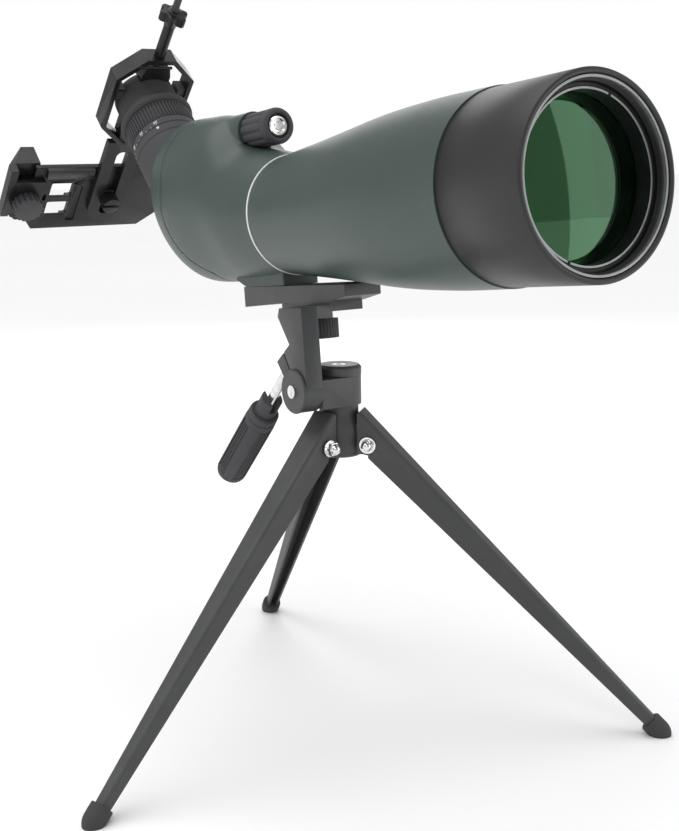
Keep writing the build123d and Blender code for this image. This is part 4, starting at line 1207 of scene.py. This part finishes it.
    def build(self) -> None:
        """Make all of it."""
        self.shop.skin("eyepiece_collar", Coat.BLACK, "scope", "black_plastic")
        self.collar()
        self.zoom_ring()
        self.scale()
        self.cup()
        self.shop.coat_node("eyepiece_tube", Coat.CELL)
        self.shop.coat_node("eyepiece_lenses", Coat.GLASS)
        self.shop.coat_node("zoom_field_cell", Coat.INSIDE)
        self.shop.coat_node("zoom_eye_cell", Coat.INSIDE)


# --------------------------------------------------------------------------------------
# Phone adapter
# --------------------------------------------------------------------------------------
@dataclass
class PhoneAdapter:
    """The clamp round the eyepiece, with its screw, and the arm that carries the phone plate."""

    shop: Workshop
    slot_half: float = 4.6
    slot_x: float = 5.0
    slot_top: float = -52.0
    slot_low: float = -106.0
    face: float = 127.1
    pin_depth: float = 120.35

    def frame_and_screw(self) -> None:
        """Dress the clamp frame, its grip pads, sleeve and block, and coat the screw."""
        self.shop.dressed("adapter_frame", Coat.GREY, "scope", "black_plastic", 0.4, 2)
        self.shop.dressed("grip_pads", Coat.RUBBER, "scope", "rubber", 0.2, 1)
        self.shop.dressed("clamp_sleeve", Coat.GREY, "scope", "black_plastic", 0.3)
        self.shop.dressed("clamp_block", Coat.GREY, "clamp_rod", "black_plastic", 0.3)
        self.shop.coat_node("clamp_rod", Coat.BLACK)

    def knob(self) -> None:
        """Mould the lobed knob of the clamp screw: a domed head on a plain hub."""
        low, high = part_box("clamp_knob")
        middle = self.shop.layout.clamp
        centre = ((low + high) / 2 - middle.origin).dot(middle.z) / MM
        datum = middle.shifted(z=centre)
        bm = bmesh.new()
        block(bm, lobed(10.1, 7.4, 6, 12, 1.3), -3.4, 3.6, 0.0)
        ease(bm, level_edges(bm), 1.2, 4)
        ring_profile(bm, [(0.0, -8.3), (3.9, -8.3), (4.2, -8.0), (4.5, -4.4), (5.2, -3.2),
                          (5.2, 3.3), (4.6, 4.3), (3.4, 4.8), (0.0, 4.8)], 48, closed=False)
        self.shop.piece("clamp_grip", bm, datum, Coat.GREY, "clamp_knob", "black_plastic",
                        ["clamp_knob"], crease=40)

    def pins(self) -> None:
        """Drive two pins across the clamp frame, beside the sliding block."""
        for name, y, x0, x1 in (("upper_pin", 33.4, -9.0, 16.5), ("side_pin", 13.0, 22.0, 27.6)):
            datum = self.shop.layout.eyepiece.shifted(x=x0, y=y, z=self.pin_depth)
            datum = datum.facing(datum.x, datum.y)
            length = x1 - x0
            pin = [(0.0, 0.0), (0.8, 0.0), (1.1, 0.3), (1.1, length - 0.3), (0.8, length),
                   (0.0, length)]
            self.shop.turn(name, pin, datum, Coat.GREY, "scope", "black_plastic", steps=28,
                           closed=False)

    def slot_rim(self) -> None:
        """Raise a narrow rim round the arm's slot."""
        def racetrack(radius: float) -> list[Pair]:
            """Give a slot outline at a radius about the slot's two centres."""
            return (arc(radius, 0.0, math.pi, 20, (self.slot_x, self.slot_top))
                    + arc(radius, math.pi, math.pi, 20, (self.slot_x, self.slot_low)))

        bm = bmesh.new()
        loops = []
        for radius in (self.slot_half + 0.05, self.slot_half + 1.5):
            verts = [bm.verts.new((x, y, self.face - 0.3)) for x, y in racetrack(radius)]
            loops += [bm.edges.new((verts[i - 1], verts[i])) for i in range(len(verts))]
        bmesh.ops.bridge_loops(bm, edges=loops)
        made = bmesh.ops.extrude_face_region(bm, geom=bm.faces[:])
        bmesh.ops.translate(bm, verts=moved_corners(made), vec=(0, 0, 0.9))
        top = [e for e in bm.edges if all(v.co.z > self.face + 0.3 for v in e.verts)
               and len(e.link_faces) == 2
               and abs(e.link_faces[0].normal.dot(e.link_faces[1].normal)) < 0.5]
        ease(bm, top, 0.25, 2)
        self.shop.piece("arm_slot_rim", bm, self.shop.layout.eyepiece, Coat.GREY, "scope",
                        "black_plastic")

    def build(self) -> None:
        """Make all of it."""
        self.frame_and_screw()
        self.knob()
        self.pins()
        self.slot_rim()


@dataclass
class PhoneHolder:
    """The sliding plate with its windows, the movable jaw and their knobs."""

    shop: Workshop

    def build(self) -> None:
        """Dress the plate, the jaw and the knobs."""
        self.shop.dressed("phone_plate", Coat.GREY, "phone_plate", "black_plastic", 0.4)
        self.shop.dressed("phone_jaw", Coat.GREY, "phone_jaw", "black_plastic", 0.5)
        self.shop.dressed("arm_knob", Coat.GREY, "arm_knob", "black_plastic", 0.4)
        self.shop.dressed("jaw_knob", Coat.BLACK, "jaw_knob", "black_plastic", 0.2, 1)


# --------------------------------------------------------------------------------------
# Tripod
# --------------------------------------------------------------------------------------
@dataclass
class TiltHead:
    """The tilting platform, quick plate, plate knob and tilt arm."""

    shop: Workshop

    def build(self) -> None:
        """Dress the castings, pad and knob."""
        self.shop.dressed("tilt_arm", Coat.CASTING, "scope", "tripod_alloy", 0.6, 3)
        self.shop.dressed("hub_disc", Coat.CASTING, "scope", "tripod_alloy", 0.4)
        self.shop.dressed("head_plate", Coat.CASTING, "scope", "tripod_alloy", 0.5, 3)
        self.shop.dressed("plate_pad", Coat.RUBBER, "scope", "rubber", 0.2, 1)
        self.shop.dressed("plate_knob", Coat.BLACK, "plate_knob", "black_plastic", 0.2, 1)
        self.shop.coat_node("plate_knob_screw", Coat.STEEL)
        self.shop.coat_node("foot_screw", Coat.STEEL)


@dataclass
class Handle:
    """The pan handle: bright rod, collar and ribbed grip."""

    shop: Workshop
    start: float = 50.0
    end: float = 117.0
    radius: float = 9.75
    panels: int = 4

    def grip(self) -> None:
        """Mould the grip: a round body with long sunk panels, three ribs in each."""
        bm = bmesh.new()
        low, high = self.start + 9.0, self.end - 5.5
        body = [(0.0, self.start), (8.3, self.start), (9.2, self.start + 0.9),
                (9.4, self.start + 4.0), (8.9, self.start + 4.6), (8.9, self.start + 5.4),
                (9.5, self.start + 6.0), (9.6, low), (8.75, low + 0.9), (8.75, high - 0.9),
                (9.6, high), (9.6, self.end - 3.4), (9.0, self.end - 1.4), (7.4, self.end - 0.3),
                (5.0, self.end), (0.0, self.end)]
        ring_profile(bm, body, 96, closed=False)
        land = arc(self.radius, -0.34, 0.68, 4) + arc(8.3, -0.30, 0.60, 4)[::-1]
        rib = [(8.5, -0.5), (9.45, -0.38), (9.45, 0.38), (8.5, 0.5)]
        for k in range(self.panels):
            middle = math.tau * (k + 0.5) / self.panels
            block(bm, polar(land, middle), low - 0.2, high + 0.2, 0.3, 2)
            for offset in (-0.2, 0.0, 0.2):
                angle = math.tau * k / self.panels + offset
                block(bm, polar(rib, angle), low + 3.0, high - 3.0, 0.2, 1)
        self.shop.piece("handle_moulding", bm, self.shop.layout.handle, Coat.BLACK, "handle",
                        "rubber", ["handle_grip"], crease=40)

    def build(self) -> None:
        """Dress the collar and grip and polish the rod."""
        self.shop.skin("handle_rod", Coat.CHROME, "handle", "bright_steel")
        self.shop.dressed("handle_collar", Coat.BLACK, "handle", "black_plastic", 0.4)
        self.grip()


@dataclass
class PanHead:
    """The panning housing with its cap and pivot bolt."""

    shop: Workshop

    def build(self) -> None:
        """Dress the castings."""
        self.shop.dressed("pan_housing", Coat.CASTING, "pan_head", "tripod_alloy", 0.5, 3)
        self.shop.dressed("pan_cap", Coat.CASTING, "pan_head", "tripod_alloy", 0.5, 3)
        self.shop.dressed("pivot_bolt", Coat.CHROME, "pan_head", "bright_steel", 0.25)


@dataclass
class Tripod:
    """The spider, three folding channel legs, their bolts and rubber feet."""

    shop: Workshop
    nut_seat: float = 9.6
    lug_width: float = 12.4
    lug_radius: float = 6.3
    lug_height: float = 12.0
    hinge_radius: float = 18.5
    boot_radius: float = 6.5
    boot_length: float = 11.5
    boot_shoulder: float = 4.5
    boot_dome: float = 8.5

    def spider(self) -> None:
        """Cast the spider: a waisted column with three rounded lugs."""
        low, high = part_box("tripod_spider")
        pan = self.shop.layout.pan
        base = Datum(Vector((pan.origin.x, pan.origin.y, 0.0)), pan.z, pan.x)
        bottom, top = low.z / MM, high.z / MM
        bm = bmesh.new()
        ring_profile(bm, [(0.0, bottom), (12.0, bottom), (13.0, bottom + 1.0),
                          (13.1, bottom + 14.0), (12.7, bottom + 18.5), (11.9, bottom + 21.5),
                          (11.3, bottom + 24.0), (11.2, bottom + 26.0), (11.2, top),
                          (0.0, top)], 96, closed=False)
        bm.transform(base.matrix())
        half = self.lug_width / 2
        for number in (1, 2, 3):
            hinge = self.shop.layout.leg(number)
            outward = Vector((hinge.x.y, -hinge.x.x, 0.0))
            datum = hinge.facing(hinge.x, outward)
            lug = bmesh.new()
            up = 1.0 if datum.y.z > 0 else -1.0
            nose = arc(self.lug_radius, -math.pi / 2, math.pi, 18)
            outline = [(x, y * up) for x, y in
                       [(-self.hinge_radius, -self.lug_radius), *nose,
                        (-self.lug_radius, self.lug_height),
                        (-self.hinge_radius, self.lug_height)]]
            if up < 0:
                outline.reverse()
            block(lug, outline, -half, half, 0.8, 3)
            lug.transform(datum.matrix())
            part = bpy.data.meshes.new("lug")
            lug.to_mesh(part)
            lug.free()
            bm.from_mesh(part)
            bpy.data.meshes.remove(part)
        self.shop.piece("spider_casting", bm, None, Coat.POWDER, "base", "tripod_alloy",
                        ["tripod_spider"], crease=36)

    def cap_nuts(self) -> None:
        """Turn a polished dome over both ends of every hinge bolt."""
        for number in (1, 2, 3):
            hinge = self.shop.layout.leg(number)
            for side in (-1.0, 1.0):
                datum = hinge.facing(hinge.x * side, hinge.z)
                bm = bmesh.new()
                hexagon = arc(3.9, 0.0, math.tau, 6)[:-1]
                block(bm, hexagon, self.nut_seat, self.nut_seat + 2.4, 0.3, 2)
                dome = [(r, self.nut_seat + 2.6 + h * 3.3 / 3.2)
                        for r, h in arc(3.2, 0.0, math.pi / 2, 12)]
                ring_profile(bm, [(0.0, self.nut_seat + 2.2), (3.2, self.nut_seat + 2.2), *dome],
                             40, closed=False)
                self.shop.piece(f"cap_nut_{number}{'a' if side < 0 else 'b'}", bm, datum,
                                Coat.CHROME, "base", "bright_steel")

    def boot(self, number: int) -> None:
        """Push a short rubber boot over a leg's end, cut off level with the floor.

        Args:
            number: the leg, from 1.
        """
        leg = self.shop.layout.leg(number)
        to_floor = leg.origin.z / -leg.z.z / MM
        top, radius = to_floor - self.boot_length, self.boot_radius
        dome = [(r, to_floor - self.boot_shoulder + h * self.boot_dome / radius)
                for r, h in arc(radius, 0.0, math.pi / 2, 16)]
        bm = bmesh.new()
        ring_profile(bm, [(0.0, top), (radius - 0.5, top), (radius, top + 0.5), *dome], 56,
                     closed=False)
        upward = Vector((leg.x.z, leg.y.z, leg.z.z))
        bmesh.ops.bisect_plane(bm, geom=[*bm.verts, *bm.edges, *bm.faces], dist=1e-5,
                               plane_co=(0, 0, to_floor), plane_no=upward, clear_inner=True)
        rim = [e for e in bm.edges if e.is_boundary]
        bmesh.ops.contextual_create(bm, geom=rim)
        self.shop.piece(f"boot_{number}", bm, leg, Coat.RUBBER, f"leg_{number}", "rubber",
                        [f"foot_{number}"], crease=36)

    def build(self) -> None:
        """Dress the pressings and plate the fasteners."""
        self.spider()
        for node in ("leg_bolts", "leg_nuts", "leg_washers"):
            self.shop.dressed(node, Coat.CHROME, "base", "bright_steel", 0.15, 2, 28.0)
        self.shop.coat_node("pan_screw", Coat.STEEL)
        self.cap_nuts()
        for number in (1, 2, 3):
            self.shop.dressed(f"leg_{number}", Coat.POWDER, f"leg_{number}", "tripod_alloy", 0.3)
            self.boot(number)


# --------------------------------------------------------------------------------------
# Studio
# --------------------------------------------------------------------------------------
@dataclass
class Studio:
    """The floor, the lights, the world and the camera."""

    eye: tuple[float, float, float] = (0.69675, -0.38751, 0.3362)
    azimuth: float = 56.54
    elevation: float = 11.30
    roll: float = -0.93
    lens: float = 56.27
    shift: float = -0.0014
    centre: tuple[float, float, float] = (0.06, 0.03, 0.22)
    ambient: float = 0.46
    daylight: float = 1.85
    panel_place: tuple[float, float, float] = (0.90, 1.05, 0.44)
    panel_aim: tuple[float, float, float] = (0.27, 0.03, 0.32)
    panel_size: Pair = (0.78, 1.0)
    panel_power: float = 3.0
    lamps: tuple[tuple[str, tuple[float, float, float], float, float], ...] = (
        ("key", (-0.5, -1.7, 0.8), 2.2, 6.5),
        ("front", (1.6, -0.9, 1.2), 0.8, 4.0),
        ("rim", (-1.3, 0.9, 0.9), 1.0, 4.0),
    )

    def floor(self) -> None:
        """Lay a broad pale floor."""
        bm = bmesh.new()
        bmesh.ops.create_grid(bm, x_segments=8, y_segments=8, size=14.0)
        mesh = bpy.data.meshes.new("floor")
        bm.to_mesh(mesh)
        bm.free()
        sheet = NodeSheet("floor_paper")
        tone = sheet.noise(900.0, 2.0, 0.5)
        mesh.materials.append(sheet.surface({
            "Base Color": sheet.blend(tone, (0.90, 0.90, 0.90), (0.93, 0.93, 0.93)),
            "Roughness": 0.8 + 0.05 * tone}))
        floor = bpy.data.objects.new("floor", mesh)
        bpy.context.scene.collection.objects.link(floor)

    def hang(self, name: str, kind: str, settings: dict[str, Any]) -> bpy.types.Object:
        """Put a light in the studio.

        Args:
            name: its name.
            kind: "AREA" or "SUN".
            settings: its properties.

        Returns:
            The light.
        """
        light = bpy.data.lights.new(name, kind)
        for key, value in settings.items():
            setattr(light, key, value)
        hung = bpy.data.objects.new(name, light)
        bpy.context.scene.collection.objects.link(hung)
        return hung

    def aim(self, hung: bpy.types.Object, place: Sequence[float], target: Sequence[float]) -> None:
        """Move a lamp to a place and turn it to a target."""
        hung.location = place
        toward = Vector(target) - Vector(place)
        hung.rotation_euler = toward.to_track_quat("-Z", "Y").to_euler()

    def room(self) -> None:
        """Make the room near white, and what the camera sees of it white."""
        world = bpy.data.worlds.new("studio")
        world.use_nodes = True
        tree = world.node_tree
        shown = tree.nodes.new("ShaderNodeLightPath")
        level = tree.nodes.new("ShaderNodeMapRange")
        level.inputs["To Min"].default_value = self.ambient
        level.inputs["To Max"].default_value = 1.0
        tree.links.new(shown.outputs["Is Camera Ray"], level.inputs["Value"])
        backdrop = tree.nodes["Background"]
        backdrop.inputs["Color"].default_value = (1.0, 1.0, 1.0, 1.0)
        tree.links.new(level.outputs["Result"], backdrop.inputs["Strength"])
        bpy.context.scene.world = world

    def light(self) -> None:
        """Hang a reflected panel, a soft skylight and large lamps round the object."""
        panel = self.hang("panel", "AREA", {
            "energy": self.panel_power, "shape": "RECTANGLE", "size": self.panel_size[0],
            "size_y": self.panel_size[1]})
        self.aim(panel, self.panel_place, self.panel_aim)
        sky = self.hang("skylight", "SUN", {"energy": self.daylight,
                                            "angle": math.radians(70.0)})
        sky.rotation_euler = (math.radians(8.0), math.radians(-6.0), 0.0)
        for name, place, size, power in self.lamps:
            lamp = self.hang(name, "AREA", {"energy": power, "shape": "DISK", "size": size})
            self.aim(lamp, place, self.centre)

    def camera(self) -> None:
        """Set up the camera."""
        a, e, roll = (math.radians(v) for v in (self.azimuth, self.elevation, self.roll))
        back = Vector((math.sin(a) * math.cos(e), -math.cos(a) * math.cos(e), math.sin(e)))
        right = Vector((math.cos(a), math.sin(a), 0.0))
        up = back.cross(right)
        right, up = (math.cos(roll) * right + math.sin(roll) * up,
                     math.cos(roll) * up - math.sin(roll) * right)
        data = bpy.data.cameras.new("camera")
        data.sensor_width = 36.0
        data.sensor_fit = "AUTO"
        data.lens = self.lens
        data.shift_x = self.shift
        data.clip_start = 0.01
        data.clip_end = 60.0
        data.dof.use_dof = False
        made = bpy.data.objects.new("camera", data)
        turn = Matrix((right, up, back)).transposed()
        made.matrix_world = Matrix.Translation(Vector(self.eye)) @ turn.to_4x4()
        bpy.context.scene.collection.objects.link(made)
        bpy.context.scene.camera = made

    def tone(self) -> None:
        """Show colours without a film curve."""
        view = bpy.context.scene.view_settings
        view.view_transform = "Standard"
        view.look = "None"
        view.exposure = 0.0
        view.gamma = 1.0

    def build(self) -> None:
        """Make all of it."""
        self.camera()
        self.floor()
        self.room()
        self.light()
        self.tone()


def main(model: dict[str, Any]) -> None:
    """Build the object and the studio.

    Args:
        model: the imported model.
    """
    Studio().build()
    shop = Workshop(model, Layout(model))
    for part in (Barrel, Sunshade, ObjectiveGroup, Housing, FocusDrive, Eyepiece, PhoneAdapter,
                 PhoneHolder, TiltHead, Handle, PanHead, Tripod):
        part(shop).build()
        log.info("%s done, %d pieces so far", part.__name__, shop.count)


if __name__ == "__main__":
    main(frame)
